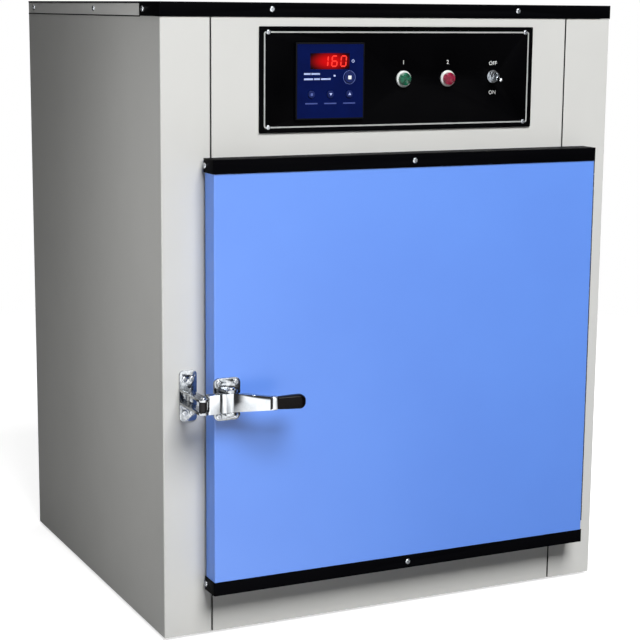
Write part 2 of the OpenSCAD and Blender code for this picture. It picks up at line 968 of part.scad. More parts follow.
// Two hat-section rails that carry the chamber on the base
module chamber_cradle() {
    half = cradle_w/2;
    top = ch_z0 - liner_t;
    color(shade_paint) placed() for (y = cradle_y)
        along_x(-ch_w/2 + cradle_in, ch_w - 2*cradle_in) translate([y, 0])
        bent_strip([[-half - cradle_foot, 2*sheet], [-half, 2*sheet], [-half, top], [half, top],
            [half, 2*sheet], [half + cradle_foot, 2*sheet]], -sheet);
}

// One side's posts and runners, against the chamber's left wall
module shelf_rack() {
    wall = -ch_w/2;
    foot = wall + runner_t;
    face = wall + rack_post_d;
    for (y = [rack_in, shelf_y1 - rack_in]) along_z(rack_z0, rack_z1 - rack_z0) bent_strip([
        [foot, y - rack_foot], [foot, y - rack_bend], [face, y - rack_face],
        [face, y + rack_face], [foot, y + rack_bend], [foot, y + rack_foot]], runner_t, 1.5);
    for (i = [0:runner_levels - 1]) along_y(shelf_y0 - 6, shelf_y1 - shelf_y0 + 8)
        translate([face, runner_z0 + i*runner_step]) bent_strip([
            [0, runner_rise], [0, 0], [runner_w, 0]], runner_t, 1.6);
}

module left_shelf_rack() {
    color(stainless) placed() shelf_rack();
}

module right_shelf_rack() {
    color(stainless) placed() mirror([1, 0, 0]) shelf_rack();
}

// A wire shelf lying on the runners of one level
module wire_shelf(level) {
    z = runner_z0 + level*runner_step + runner_t + free_gap + rod_r;
    half = shelf_half - rack_post_d - rod_r;
    corner = shelf_corner;
    depth = shelf_y1 - shelf_y0 - 2*rod_r;
    wires = floor((half - 6)/wire_pitch);
    translate([0, shelf_y0 + rod_r, z]) {
        for (x = [-half, half]) translate([x, corner, 0]) to_back()
            cylinder(h = depth - 2*corner, r = rod_r);
        for (y = [0, depth]) translate([-half + corner, y, 0]) to_right()
            cylinder(h = 2*half - 2*corner, r = rod_r);
        for (c = [[half - corner, corner, -90], [half - corner, depth - corner, 0],
                [-half + corner, depth - corner, 90], [-half + corner, corner, 180]])
            translate([c[0], c[1], 0]) rotate(c[2]) rotate_extrude(angle = 90)
                translate([corner, 0]) circle(r = rod_r);
        for (y = [depth/3, 2*depth/3]) translate([-half, y, 0]) to_right()
            cylinder(h = 2*half, r = shelf_bar_r);
        for (i = [-wires:wires]) translate([i*wire_pitch, -rod_r/2, rod_r + wire_r - wire_sunk]) to_back()
            cylinder(h = depth + rod_r, r = wire_r);
    }
}

module upper_shelf() {
    color(stainless) placed() wire_shelf(2);
}

module lower_shelf() {
    color(stainless) placed() wire_shelf(1);
}

// Hairpin tube heaters over the chamber's floor, with their ends in ceramic bushes
module heater_elements() {
    leg = ch_d - heater_front - heater_bend_r;
    color("#6f6a63") placed() {
        heater_leg_places() {
            translate([0, 0, -leg]) cylinder(h = leg + heater_tail, r = heater_r);
            translate([0, 0, liner_t]) cylinder(h = bush_l, r = bush_r);
        }
        for (x = heater_x) translate([x, ch_d - leg, heater_z]) rotate(180)
            rotate_extrude(angle = 180) translate([heater_bend_r, 0]) circle(r = heater_r);
    }
}

// The slotted plate over the heaters
module floor_plate() {
    half = ch_w/2 - ch_corner;
    y0 = door_back + plug_d + 4;
    depth = ch_d - y0 - 6;
    columns = floor((2*half - 2*slot_edge)/slot_pitch_x);
    rows = floor((depth - 2*slot_edge)/slot_pitch_y);
    color(stainless) placed() difference() {
        along_y(y0, depth) bent_strip([
            [-half, ch_z0], [-half, ch_z0 + floor_plate_z],
            [half, ch_z0 + floor_plate_z], [half, ch_z0]], -liner_t);
        for (i = [0:columns - 1], j = [0:rows - 1])
            translate([(i - (columns - 1)/2)*slot_pitch_x, y0 + depth/2 + (j - (rows - 1)/2)*slot_pitch_y,
                ch_z0 + floor_plate_z - 2*liner_t]) linear_extrude(3*liner_t)
                    round_slot(slot_l, slot_r);
    }
}

// A slot with round ends, by its straight length and its end radius
module round_slot(len, r) {
    square([len, 2*r], center = true);
    for (x = [-len/2, len/2]) translate([x, 0]) circle(r = r);
}

// The pan over the fan, with a ringed grille in front and slots in its sides
module fan_guard() {
    half = fan_r + guard_in;
    front = ch_d - guard_d;
    slot_y = front + guard_round;
    color(stainless) placed() difference() {
        along_y(front, guard_d) box_outline(-half, fan_z - half, half, fan_z + half, guard_round);
        along_y(front + liner_t, guard_d) box_outline(-half + liner_t, fan_z - half + liner_t,
            half - liner_t, fan_z + half - liner_t, guard_round - liner_t);
        translate([0, front, fan_z]) to_front() translate([0, 0, -cut - liner_t])
            for (k = [0:4]) grille_ring(fan_r*(0.22 + 0.14*k), fan_r*0.09);
        for (i = [-3:3]) {
            translate([i*guard_slot_pitch - guard_slot_w/2, slot_y, fan_z - half - cut])
                cube([guard_slot_w, guard_slot_l, 2*half + 2*cut]);
            translate([-half - cut, slot_y, fan_z + i*guard_slot_pitch - guard_slot_w/2])
                cube([2*half + 2*cut, guard_slot_l, guard_slot_w]);
        }
    }
}

// One ring of the grille, broken by four spokes
module grille_ring(r, w) {
    linear_extrude(liner_t + 2*cut) difference() {
        circle(r = r + w);
        circle(r = r);
        for (a = [45, 135]) rotate(a) square([2*fan_r + 40, 7], center = true);
    }
}

// A fan wheel with curved blades between its back plate and its front ring
module fan_impeller() {
    blade_bend_r = fan_r*0.28;
    shaft_l = fan_gap + motor_gap + shaft_grip;
    color("#b9bcbe") placed() translate([0, ch_d - fan_gap, fan_z]) to_front() {
        cylinder(h = fan_plate_t, r = fan_r);
        cylinder(h = fan_hub_l, r = fan_hub_r);
        translate([0, 0, fan_depth - fan_plate_t]) ring(fan_r, fan_r*fan_eye, fan_plate_t);
        for (i = [0:fan_blades - 1]) rotate(i*360/fan_blades)
            translate([fan_r*0.56, -blade_bend_r, fan_plate_t/2]) rotate(28) rotate_extrude(angle = 52)
                translate([blade_bend_r, 0]) square([fan_plate_t, fan_depth - fan_plate_t]);
        translate([0, 0, -shaft_l]) cylinder(h = shaft_l + cut, r = shaft_r);
    }
}

// A shaded-pole motor on four pillars behind the chamber's back wall
module fan_motor() {
    color("#4a4d52") placed() fan_place() difference() {
        union() {
            translate([0, 0, motor_gap]) cylinder(h = motor_l, r = motor_r);
            translate([0, 0, motor_gap]) cylinder(h = 3, r = motor_r + motor_flange);
            translate([0, 0, motor_gap + motor_l]) cylinder(h = motor_boss_h, r = motor_boss_r);
            for (a = [45:90:315]) rotate(a) translate([motor_r + 2, 0, liner_t])
                cylinder(h = motor_gap, r = 4);
        }
        translate([0, 0, -cut]) cylinder(h = cut + motor_gap + shaft_grip + 3, r = shaft_r + run_gap);
        for (a = [0:30:330]) rotate(a) translate([motor_r, 0, motor_gap + 10]) cube([4, 6, motor_l]);
    }
}

// The sensor's rod, its collar and its head
module temperature_probe() {
    color(stainless) placed() probe_place() {
        translate([0, 0, -probe_l]) cylinder(h = probe_l + probe_tail, r = probe_r);
        translate([0, 0, liner_t]) cylinder(h = 3, r = probe_collar_r);
        translate([0, 0, 12]) cylinder(h = 24, r = probe_head_r);
    }
}

// Door

module door_shell() {
    z0 = door_z0 + trim_t;
    height = door_z1 - door_z0 - 2*trim_t;
    color(door_blue) placed() difference() {
        union() {
            along_z(z0, height) bent_strip([
                [door_x0 + door_lip, lip_back], [door_x0, lip_back], [door_x0, -door_t],
                [door_x1, -door_t], [door_x1, lip_back], [door_x1 - door_lip, lip_back]], sheet);
            for (z = [z0, z0 + height - sheet]) along_z(z, sheet)
                box_outline(door_x0, -door_t, door_x1, lip_back, bend_r);
        }
        door_trim_screw_places() screw_hole();
        moving_leaf_screws() screw_hole();
        latch_screw_places() screw_hole();
    }
}

// Places on both trim strips: one in the middle of the front and one on the left side
module door_trim_screw_places() {
    for (z = [door_z0 + trim_h/2, door_z1 - trim_h/2]) {
        translate([door_mid_x, -door_t - trim_t, z]) to_front() children();
        translate([door_x0 - trim_t, -door_t + 26, z]) to_left() children();
    }
}

// A strip folded round the door's front corners, with its own end plate
module door_trim(plate_z0) {
    along_z(0, trim_h) bent_strip([
        [door_x0 - trim_t, door_back], [door_x0 - trim_t, -door_t - trim_t],
        [door_x1 + trim_t, -door_t - trim_t], [door_x1 + trim_t, door_back]], trim_t);
    along_z(plate_z0, trim_t) box_outline(door_x0 - trim_t, -door_t - trim_t,
        door_x1 + trim_t, door_back, bend_r);
}

module door_top_trim() {
    color(black_paint) placed() difference() {
        translate([0, 0, door_z1 - trim_h]) door_trim(trim_h - trim_t);
        door_trim_screw_places() screw_hole();
    }
}

module door_bottom_trim() {
    color(black_paint) placed() difference() {
        translate([0, 0, door_z0]) door_trim(0);
        door_trim_screw_places() screw_hole();
    }
}

// The stainless inner face, pressed into a raised field that stands in the chamber's mouth
module door_inner_panel() {
    gap = field_in + liner_t;
    color(stainless) placed() difference() {
        union() {
            along_y(lip_back, liner_t) box_outline(door_x0 + 3, door_z0 + 3,
                door_x1 - 3, door_z1 - 3, 3);
            along_y(lip_back, plug_d + liner_t) box_outline(-ch_w/2 + field_in, ch_z0 + field_in,
                ch_w/2 - field_in, ch_z1 - field_in, field_round);
        }
        along_y(lip_back - cut, plug_d + cut) box_outline(-ch_w/2 + gap, ch_z0 + gap,
            ch_w/2 - gap, ch_z1 - gap, field_round - liner_t);
    }
}

module door_wool() {
    y0 = -door_t + sheet;
    color(glass_wool_yellow) placed() difference() {
        along_y(y0, lip_back - sheet - y0) box_outline(door_x0 + bend_r, door_z0 + trim_t + sheet,
            door_x1 - bend_r, door_z1 - trim_t - sheet, bend_r);
        door_trim_screw_places() screw_hole();
        moving_leaf_screws() screw_hole();
        latch_screw_places() screw_hole();
    }
}

// A flat-footed seal with a narrower bulb, all round the chamber's mouth
module door_gasket() {
    color("#b4432f") placed() {
        along_y(door_back, seal_foot_t) seal_ring(seal_foot);
        along_y(door_back + seal_foot_t, door_gap - seal_foot_t - free_gap) seal_ring(seal_bulb);
    }
}

// The chamber's mouth, grown on every side
module grown_mouth(d) {
    box_outline(-ch_w/2 - d, ch_z0 - d, ch_w/2 + d, ch_z1 + d, ch_corner + d);
}

// A band round the mouth, by its inner and outer distance from the mouth
module seal_ring(band) {
    difference() {
        grown_mouth(band[1]);
        grown_mouth(band[0]);
    }
}

module door_screws() {
    color(chrome) placed() {
        door_trim_screw_places() pan_screw(screw_l);
        moving_leaf_screws() flush_screw(leaf_t + screw_l);
        latch_screw_places() pan_screw(base_t + screw_l);
    }
}

// Hinge

module fixed_leaf_screws() {
    for (i = [0:hinge_screws - 1])
        translate([hinge_x + knuckle_r + leaf_w/2 + 1, -leaf_t,
            hinge_z0 + hinge_len*(i + 0.5)/hinge_screws]) to_front() children();
}

module moving_leaf_screws() {
    for (i = [0:hinge_screws - 1])
        translate([door_x1 + leaf_t, hinge_y - knuckle_r - leaf_w/2 - 1,
            hinge_z0 + hinge_len*(i + 0.5)/hinge_screws]) to_right() children();
}

// The knuckles of one leaf: every second one, from a first number
module hinge_knuckles(first) {
    for (i = [first:2:knuckles - 1]) along_z(hinge_z0 + i*knuckle_pitch + 0.2, knuckle_pitch - 0.4)
        translate([hinge_x, hinge_y]) circle(r = knuckle_r);
}

module hinge_bore() {
    translate([hinge_x, hinge_y, hinge_z0 - cut]) cylinder(h = hinge_len + 2*cut, r = hinge_pin_r + run_gap);
}

module fixed_hinge_leaf() {
    color(chrome) placed() difference() {
        union() {
            hinge_knuckles(0);
            translate([hinge_x + knuckle_r + 0.5, -leaf_t, hinge_z0]) cube([leaf_w, leaf_t, hinge_len]);
            for (i = [0:2:knuckles - 1])
                translate([hinge_x, -leaf_t, hinge_z0 + i*knuckle_pitch + 0.2])
                    cube([knuckle_r + 1, leaf_t, knuckle_pitch - 0.4]);
        }
        hinge_bore();
        fixed_leaf_screws() {
            screw_hole();
            translate([0, 0, -leaf_t]) cylinder(h = leaf_t + 0.01, r1 = screw_r + run_gap, r2 = sink_r);
        }
    }
}

module moving_hinge_leaf() {
    color(chrome) placed() difference() {
        union() {
            hinge_knuckles(1);
            translate([door_x1, hinge_y - knuckle_r - 0.5 - leaf_w, hinge_z0])
                cube([leaf_t, leaf_w, hinge_len]);
            for (i = [1:2:knuckles - 1])
                translate([door_x1, hinge_y - knuckle_r - 1, hinge_z0 + i*knuckle_pitch + 0.2])
                    cube([leaf_t, knuckle_r + 1, knuckle_pitch - 0.4]);
        }
        hinge_bore();
        moving_leaf_screws() {
            screw_hole();
            translate([0, 0, -leaf_t]) cylinder(h = leaf_t + 0.01, r1 = screw_r + run_gap, r2 = sink_r);
        }
    }
}

module hinge_pin() {
    color(chrome) placed() translate([hinge_x, hinge_y, hinge_z0]) cylinder(h = hinge_len, r = hinge_pin_r);
}

// Latch, drawn about its pin at the height of the lever's middle

module at_latch() {
    translate([latch_x, latch_y, latch_z]) children();
}

module latch_screw_places() {
    for (sx = [-1, 1], sz = [-1, 1])
        translate([base_x + sx*base_screw_x, -door_t - base_t, latch_z + sz*base_screw_z])
            to_front() children();
}

// The foot on the door with two ears that hold the pin
module latch_base() {
    ear_z = hub_h/2 + ear_gap;
    color(chrome) placed() difference() {
        union() {
            along_y(-door_t - base_t, base_t) box_outline(base_x - base_w/2, latch_z - base_h/2,
                base_x + base_w/2, latch_z + base_h/2, base_round);
            at_latch() for (z = [ear_z, -ear_z - ear_t]) translate([0, 0, z]) {
                cylinder(h = ear_t, r = hub_r + 0.5);
                linear_extrude(ear_t) polygon([[-hub_r - 0.5, 0], [hub_r + 0.5, 0],
                    [hub_r + 3, latch_out - base_t], [-hub_r - 3, latch_out - base_t]]);
            }
        }
        at_latch() translate([0, 0, -hub_h]) cylinder(h = 2*hub_h, r = latch_pin_r + run_gap);
        latch_screw_places() screw_hole();
    }
}

module latch_pin() {
    top = hub_h/2 + ear_gap + ear_t;
    color(chrome) placed() at_latch() {
        translate([0, 0, -top - 1]) cylinder(h = 2*top + 1, r = latch_pin_r);
        translate([0, 0, top]) rotate_extrude() polygon(concat([[0, 0], [latch_pin_r + 1.8, 0]],
            arc([latch_pin_r, 0.4], 1.8, 0, 90), [[0, 2.2]]));
    }
}

// The arm's outline seen from above, from the hub out to the collar
module arm_plan() {
    out = unit(arm_end);
    across = turn_left(out);
    polygon([-across*hub_r*0.75, arm_end - across*arm_t/2, arm_end + out*2 - across*arm_t/2,
        arm_end + out*2 + across*arm_t/2, arm_end + across*arm_t/2, across*hub_r*0.75]);
}

// The arm's outline seen from the front, narrowing to the collar
module arm_front() {
    polygon([[0, -hub_h/2], [arm_end[0] + 4, -arm_end_h/2], [arm_end[0] + 4, arm_end_h/2], [0, hub_h/2]]);
}

// The frame of the grip: its root at the arm's end, X along the grip
module at_grip() {
    translate([arm_end[0], arm_end[1], 0]) rotate(-grip_lean) children();
}

module latch_lever() {
    nose_y0 = nose_inner_y - nose_t;
    head_x0 = roller_x - latch_x + strike_ear_r + head_gap;
    color(chrome) placed() at_latch() difference() {
        union() {
            translate([0, 0, -hub_h/2]) cylinder(h = hub_h, r = hub_r);
            intersection() {
                translate([0, 0, -hub_h/2]) linear_extrude(hub_h) arm_plan();
                along_y(-60, 80) arm_front();
            }
            // Head between the hub and the roller
            translate([0, 0, -hub_h/2]) linear_extrude(hub_h)
                polygon(concat([[0, nose_inner_y], [head_x0, nose_inner_y]],
                    arc([head_x0 + 3, -6], 3, 180, 270, 4), [[-18, -9], [0, -7]]));
            // Nose that hooks behind the roller
            translate([0, 0, -nose_h/2]) linear_extrude(nose_h)
                polygon(concat([[-10, nose_inner_y]],
                    arc([-nose_l + nose_t/2, nose_inner_y - nose_t/2], nose_t/2, 90, 270, 8),
                    [[-10, nose_y0]]));
            // Collar and the tang inside the grip
            at_grip() {
                translate([-collar_back, 0, 0]) to_right() linear_extrude(collar_t) box_outline(
                    -arm_end_h/2 - collar_rise, -arm_t/2 - collar_rise,
                    arm_end_h/2 + collar_rise, arm_t/2 + collar_rise, collar_round);
                translate([0, -tang_t/2, -tang_h/2]) cube([grip_x0 + tang_l, tang_t, tang_h]);
            }
        }
        translate([0, 0, -hub_h]) cylinder(h = 2*hub_h, r = latch_pin_r + run_gap);
        // Scoop between the head and the hub
        translate([-2*scoop_r, -2*scoop_r, -hub_h]) cylinder(h = 2*hub_h, r = scoop_r);
    }
}

// The upper edge of the grip seen from the front: it swells from its root to a rounded end
function grip_edge() = concat(
    [for (i = [0:grip_steps - 1]) [(grip_l - grip_end_r)*i/grip_steps,
        grip_root_h/2 + (grip_h - grip_root_h)/2*sin(90*i/grip_steps)]],
    arc([grip_l - grip_end_r, grip_h/2 - grip_end_r], grip_end_r, 90, 0));

// The moulded grip on the lever's tang
module latch_grip() {
    edge = grip_edge();
    color(rubber_black) placed() at_latch() at_grip() translate([grip_x0, 0, 0]) difference() {
        intersection() {
            translate([0, 0, -grip_h/2]) linear_extrude(grip_h) polygon(concat(
                [[0, -grip_root_t/2], [0, grip_root_t/2]],
                arc([grip_l - grip_t/2, 0], grip_t/2, 90, -90, 12)));
            along_y(-grip_t, 2*grip_t) polygon(concat(
                edge, [for (p = backwards(edge)) [p[0], -p[1]]]));
            to_right() linear_extrude(grip_l)
                box_outline(-grip_h/2, -grip_t/2, grip_h/2, grip_t/2, grip_edge_r);
        }
        translate([-cut, -tang_t/2, -tang_h/2]) cube([cut + tang_l, tang_t, tang_h]);
    }
}

// Strike

module strike_screw_places() {
    for (sx = [-1, 1], sz = [-1, 1])
        translate([strike_x + sx*strike_screw_x, -strike_t,
            latch_z + sz*(strike_h/2 - strike_screw_in)]) to_front() children();
}

// A plate on the stile with two ears that hold the roller's pin
module strike_bracket() {
    ear_z = roller_h/2 + ear_gap;
    color(chrome) placed() difference() {
        union() {
            along_y(-strike_t, strike_t) box_outline(strike_x - strike_w/2, latch_z - strike_h/2,
                strike_x + strike_w/2, latch_z + strike_h/2, strike_round);
            for (z = [ear_z, -ear_z - strike_ear_t]) translate([roller_x, 0, latch_z + z])
                linear_extrude(strike_ear_t) {
                    translate([0, roller_y]) circle(r = strike_ear_r);
                    polygon([[-strike_ear_r, roller_y], [strike_ear_r, roller_y],
                        [strike_ear_r, -strike_t/2], [-strike_ear_r, -strike_t/2]]);
                }
        }
        translate([roller_x, roller_y, latch_z - 20]) cylinder(h = 40, r = roller_pin_r + run_gap);
        along_y(-strike_t - cut, strike_t + 2*cut) translate([strike_x, latch_z])
            square([strike_slot_w, strike_slot_h], center = true);
        strike_screw_places() screw_hole();
    }
}

module strike_roller() {
    color(black_paint) placed() translate([roller_x, roller_y, latch_z - roller_h/2]) difference() {
        rotate_extrude() polygon([[0, 0], [roller_r - 0.7, 0], [roller_r, 0.7],
            [roller_r, roller_h - 0.7], [roller_r - 0.7, roller_h], [0, roller_h]]);
        translate([0, 0, -cut]) cylinder(h = roller_h + 2*cut, r = roller_pin_r + run_gap);
    }
}

module strike_pin() {
    top = roller_h/2 + ear_gap + strike_ear_t;
    color(chrome) placed() translate([roller_x, roller_y, latch_z]) {
        translate([0, 0, -top - 0.5]) cylinder(h = 2*top + 0.5, r = roller_pin_r);
        translate([0, 0, top]) rotate_extrude() polygon(concat([[0, 0], [3.6, 0]],
            arc([2.2, 0.2], 1.4, 0, 90), [[0, 1.6]]));
    }
}

// Rear fittings

module vent_place() {
    translate([0, body_d, vent_z]) to_back() children();
}

module vent_screw_circle() {
    for (a = [45:90:315]) rotate(a) translate([vent_screw_r, 0, vent_plate_t]) children();
}

module vent_screw_places() {
    vent_place() vent_screw_circle() children();
}

// The holes that the collar and its shutter share
module vent_holes(h) {
    for (a = [0:90:270]) rotate(a) translate([vent_r*0.46, 0, -cut])
        cylinder(h = h + 2*cut, r = vent_r*0.2);
}

// A tube from the chamber to a drilled plate with a flange on the back panel
module vent_collar() {
    color(stainless) placed() vent_place() difference() {
        union() {
            cylinder(h = vent_plate_t, r = vent_r + vent_flange);
            translate([0, 0, -space_behind]) ring(vent_tube_r, vent_tube_r - 1, space_behind + 1);
        }
        vent_holes(vent_plate_t);
        translate([0, 0, -cut]) cylinder(h = vent_plate_t + 2*cut, r = vent_rivet_r + run_gap);
        vent_screw_circle() screw_hole();
    }
}

// A turning disc with the same holes, a rim and a finger tab, on its own rivet
module vent_shutter() {
    color(chrome) placed() vent_place() {
        difference() {
            union() {
                translate([0, 0, vent_plate_t + free_gap]) cylinder(h = vent_disc_t, r = vent_r);
                translate([vent_r*0.72, -1, vent_plate_t + 1]) cube([vent_r*0.26, 2, 9]);
            }
            translate([0, 0, vent_plate_t]) vent_holes(2*vent_plate_t);
        }
        translate([0, 0, -3]) cylinder(h = 6, r = vent_rivet_r);
        translate([0, 0, vent_plate_t + vent_disc_t]) cylinder(h = 2.5, r = 5);
    }
}

module gland_place() {
    translate([gland_x, body_d, gland_z]) to_back() children();
}

// A mains gland: locknut inside, hexagon and dome nut outside, with an open bore
module mains_gland() {
    color("#3a3c40") placed() gland_place() difference() {
        union() {
            translate([0, 0, -gland_thread_l]) cylinder(h = gland_thread_l + 2, r = gland_thread_r);
            translate([0, 0, -sheet - gland_nut_h]) cylinder(h = gland_nut_h, r = gland_nut_r, $fn = 6);
            cylinder(h = gland_hex_h, r = gland_hex_r, $fn = 6);
            translate([0, 0, gland_hex_h])
                cylinder(h = gland_reach - gland_hex_h - gland_dome_h, r = gland_dome_r);
            translate([0, 0, gland_reach - gland_dome_h])
                cylinder(h = gland_dome_h, r1 = gland_dome_r, r2 = gland_mouth_r);
        }
        translate([0, 0, -gland_thread_l - cut])
            cylinder(h = gland_thread_l + gland_reach + 2*cut, r = gland_r);
    }
}

// A three-way ceramic block on the base, beside the gland
module terminal_block() {
    color("#e9e4d6") placed() translate([block_x, block_y, sheet]) difference() {
        along_y(0, block_l) difference() {
            box_outline(-block_w/2, 0, block_w/2, block_h, 2);
            for (side = [-1, 1]) translate([side*block_pole/2 - 1, block_h/2 - 1]) square([2, block_h]);
        }
        for (i = [-1:1]) translate([i*block_pole, block_l/2, block_h/2]) {
            to_front() cylinder(h = 2*block_l, r = block_wire_r, center = true);
            cylinder(h = block_h, r = block_screw_r);
        }
    }
}

base_pan();
left_side_panel();
right_side_panel();
front_fascia();
back_panel();
cover_rim();
top_cover();
top_front_trim();
cabinet_screws();
feet();
control_plate();
control_plate_screws();
controller_case();
controller_face();
display_window();
set_key();
down_key();
up_key();
ring_key();
lamp_bezels();
green_lamp_lens();
red_lamp_lens();
switch_body();
switch_lever();
control_tray();
power_relay();
inner_chamber();
glass_wool();
chamber_cradle();
left_shelf_rack();
right_shelf_rack();
upper_shelf();
lower_shelf();
heater_elements();
floor_plate();
fan_guard();
fan_impeller();
fan_motor();
temperature_probe();
door_shell();
door_inner_panel();
door_wool();
door_gasket();
door_top_trim();
door_bottom_trim();
door_screws();
fixed_hinge_leaf();
moving_hinge_leaf();
hinge_pin();
latch_base();
latch_pin();
latch_lever();
latch_grip();
strike_bracket();
strike_roller();
strike_pin();
vent_collar();
vent_shutter();
mains_gland();
terminal_block();
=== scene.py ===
"""Dry heat sterilizer: finishes, printed marks, soft pieces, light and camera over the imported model.

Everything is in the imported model's own frame: X to the right along the front, Y into the depth and Z
up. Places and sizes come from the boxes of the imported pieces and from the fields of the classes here.
A field is in millimetres or degrees where it doesn't say otherwise, and a function works in metres.
"""

import json
import logging
import math
from dataclasses import dataclass, field
from enum import Enum

import bmesh
import bpy
import numpy as np
from mathutils import Matrix, Vector

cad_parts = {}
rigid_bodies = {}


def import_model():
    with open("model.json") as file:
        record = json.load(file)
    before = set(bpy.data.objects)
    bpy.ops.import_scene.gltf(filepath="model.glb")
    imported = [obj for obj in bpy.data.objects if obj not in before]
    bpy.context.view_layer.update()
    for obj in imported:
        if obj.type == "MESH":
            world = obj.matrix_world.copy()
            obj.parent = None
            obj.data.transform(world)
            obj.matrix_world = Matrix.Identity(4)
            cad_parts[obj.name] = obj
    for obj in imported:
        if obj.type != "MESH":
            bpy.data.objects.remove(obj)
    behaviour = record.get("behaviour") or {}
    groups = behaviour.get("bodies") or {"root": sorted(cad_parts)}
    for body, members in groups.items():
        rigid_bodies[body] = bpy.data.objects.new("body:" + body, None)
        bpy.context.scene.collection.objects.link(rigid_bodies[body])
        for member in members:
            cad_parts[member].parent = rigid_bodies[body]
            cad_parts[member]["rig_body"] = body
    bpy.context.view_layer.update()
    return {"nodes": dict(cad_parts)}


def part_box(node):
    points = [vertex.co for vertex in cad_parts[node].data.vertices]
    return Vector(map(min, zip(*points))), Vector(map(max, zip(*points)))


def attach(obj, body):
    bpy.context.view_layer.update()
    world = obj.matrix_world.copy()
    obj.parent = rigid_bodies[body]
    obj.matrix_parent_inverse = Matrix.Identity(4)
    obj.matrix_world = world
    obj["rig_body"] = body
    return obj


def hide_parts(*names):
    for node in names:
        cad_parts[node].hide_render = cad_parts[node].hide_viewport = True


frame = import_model()
LOG = logging.getLogger("sterilizer")
MM = 0.001
WHITE = (1.0, 1.0, 1.0, 1.0)
# What makes a Map Range's ends soft
SMOOTH = {"interpolation_type": "SMOOTHSTEP"}
# The values of a noise between which a patch comes in
NOISE_MIDDLE = (0.35, 0.65)
# How near, in metres, points of a seam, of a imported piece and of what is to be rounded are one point
SEAM, TWIN, SLIVER = 1e-7, 2e-6, 1e-4
# The angles in degrees under which faces are one, and over which their edge is rounded
FLAT, SHARP = 0.6, 40

Node = bpy.types.Node
Socket = bpy.types.NodeSocket
Tree = bpy.types.NodeTree
Mesh = bpy.types.Mesh
Thing = bpy.types.Object
Array = np.ndarray
Pair = tuple[float, float]
Triple = tuple[float, float, float]


def linear(colour: str) -> tuple[float, float, float, float]:
    """Turns an sRGB hex colour into linear light.

    Args:
        colour: six hex digits after a hash.

    Returns:
        Linear red, green and blue, and an alpha of 1.
    """
    srgb = np.array([int(colour[i : i + 2], 16) / 255 for i in (1, 3, 5)])
    light = np.where(srgb <= 0.04045, srgb / 12.92, ((srgb + 0.055) / 1.055) ** 2.4)
    return (*light.tolist(), 1.0)


def per_mm(size: float) -> float:
    """The texture scale at which a pattern's features are this many millimetres apart."""
    return 1 / (size * MM)


def add(tree: Tree, kind: str, inputs: dict | list | None = None, **settings: object) -> Node:
    """Adds a shader node, sets its properties, and fills or links its inputs.

    Args:
        tree: the node tree that it goes into.
        kind: the node's type name, without the ShaderNode before it.
        inputs: what each input gets, by its name or number or in order: a value, a node's output, or a
            node, for the first output that it has in use.
        **settings: the node's own properties.

    Returns:
        The new node.
    """
    node = tree.nodes.new(f"ShaderNode{kind}")
    for name, value in settings.items():
        setattr(node, name, value)
    for socket, value in inputs.items() if isinstance(inputs, dict) else enumerate(inputs or []):
        if isinstance(value, Node):
            value = next(output for output in value.outputs if output.enabled)
        if isinstance(value, Socket):
            tree.links.new(value, node.inputs[socket])
        else:
            node.inputs[socket].default_value = value
    return node


def bare_tree(owner: bpy.types.Material | bpy.types.World) -> Tree:
    """Turns on the nodes of a material or a world and clears them away.

    Args:
        owner: the material or the world.

    Returns:
        Its node tree, empty.
    """
    owner.use_nodes = True
    owner.node_tree.nodes.clear()
    return owner.node_tree


def distance(tree: Tree, place: Socket, centre: Triple, weights: Triple) -> Node:
    """The distance of a place from a centre.

    Args:
        tree: the node tree.
        place: the place.
        centre: the centre.
        weights: what the way along each axis is multiplied by.

    Returns:
        The node that gives it.
    """
    shift = add(tree, "VectorMath", [place, centre], operation="SUBTRACT")
    weighed = add(tree, "VectorMath", [shift, weights], operation="MULTIPLY")
    return add(tree, "VectorMath", [weighed], operation="LENGTH")


class Grain(Enum):
    """Which way a surface's fine grain runs, as its squeeze along X, Y and Z."""

    EVEN = (1.0, 1.0, 1.0)
    ALONG_X = (0.015, 1.0, 1.0)
    ALONG_Y = (1.0, 0.015, 1.0)
    ALONG_Z = (1.0, 1.0, 0.015)


@dataclass
class Ground:
    """What a finish is painted on.

    Attributes:
        tree, place: the material's node tree, and the point on the piece, in metres.
        patches, fine: the broad and the fine pattern.
    """

    tree: Tree
    place: Socket
    patches: Node
    fine: Node


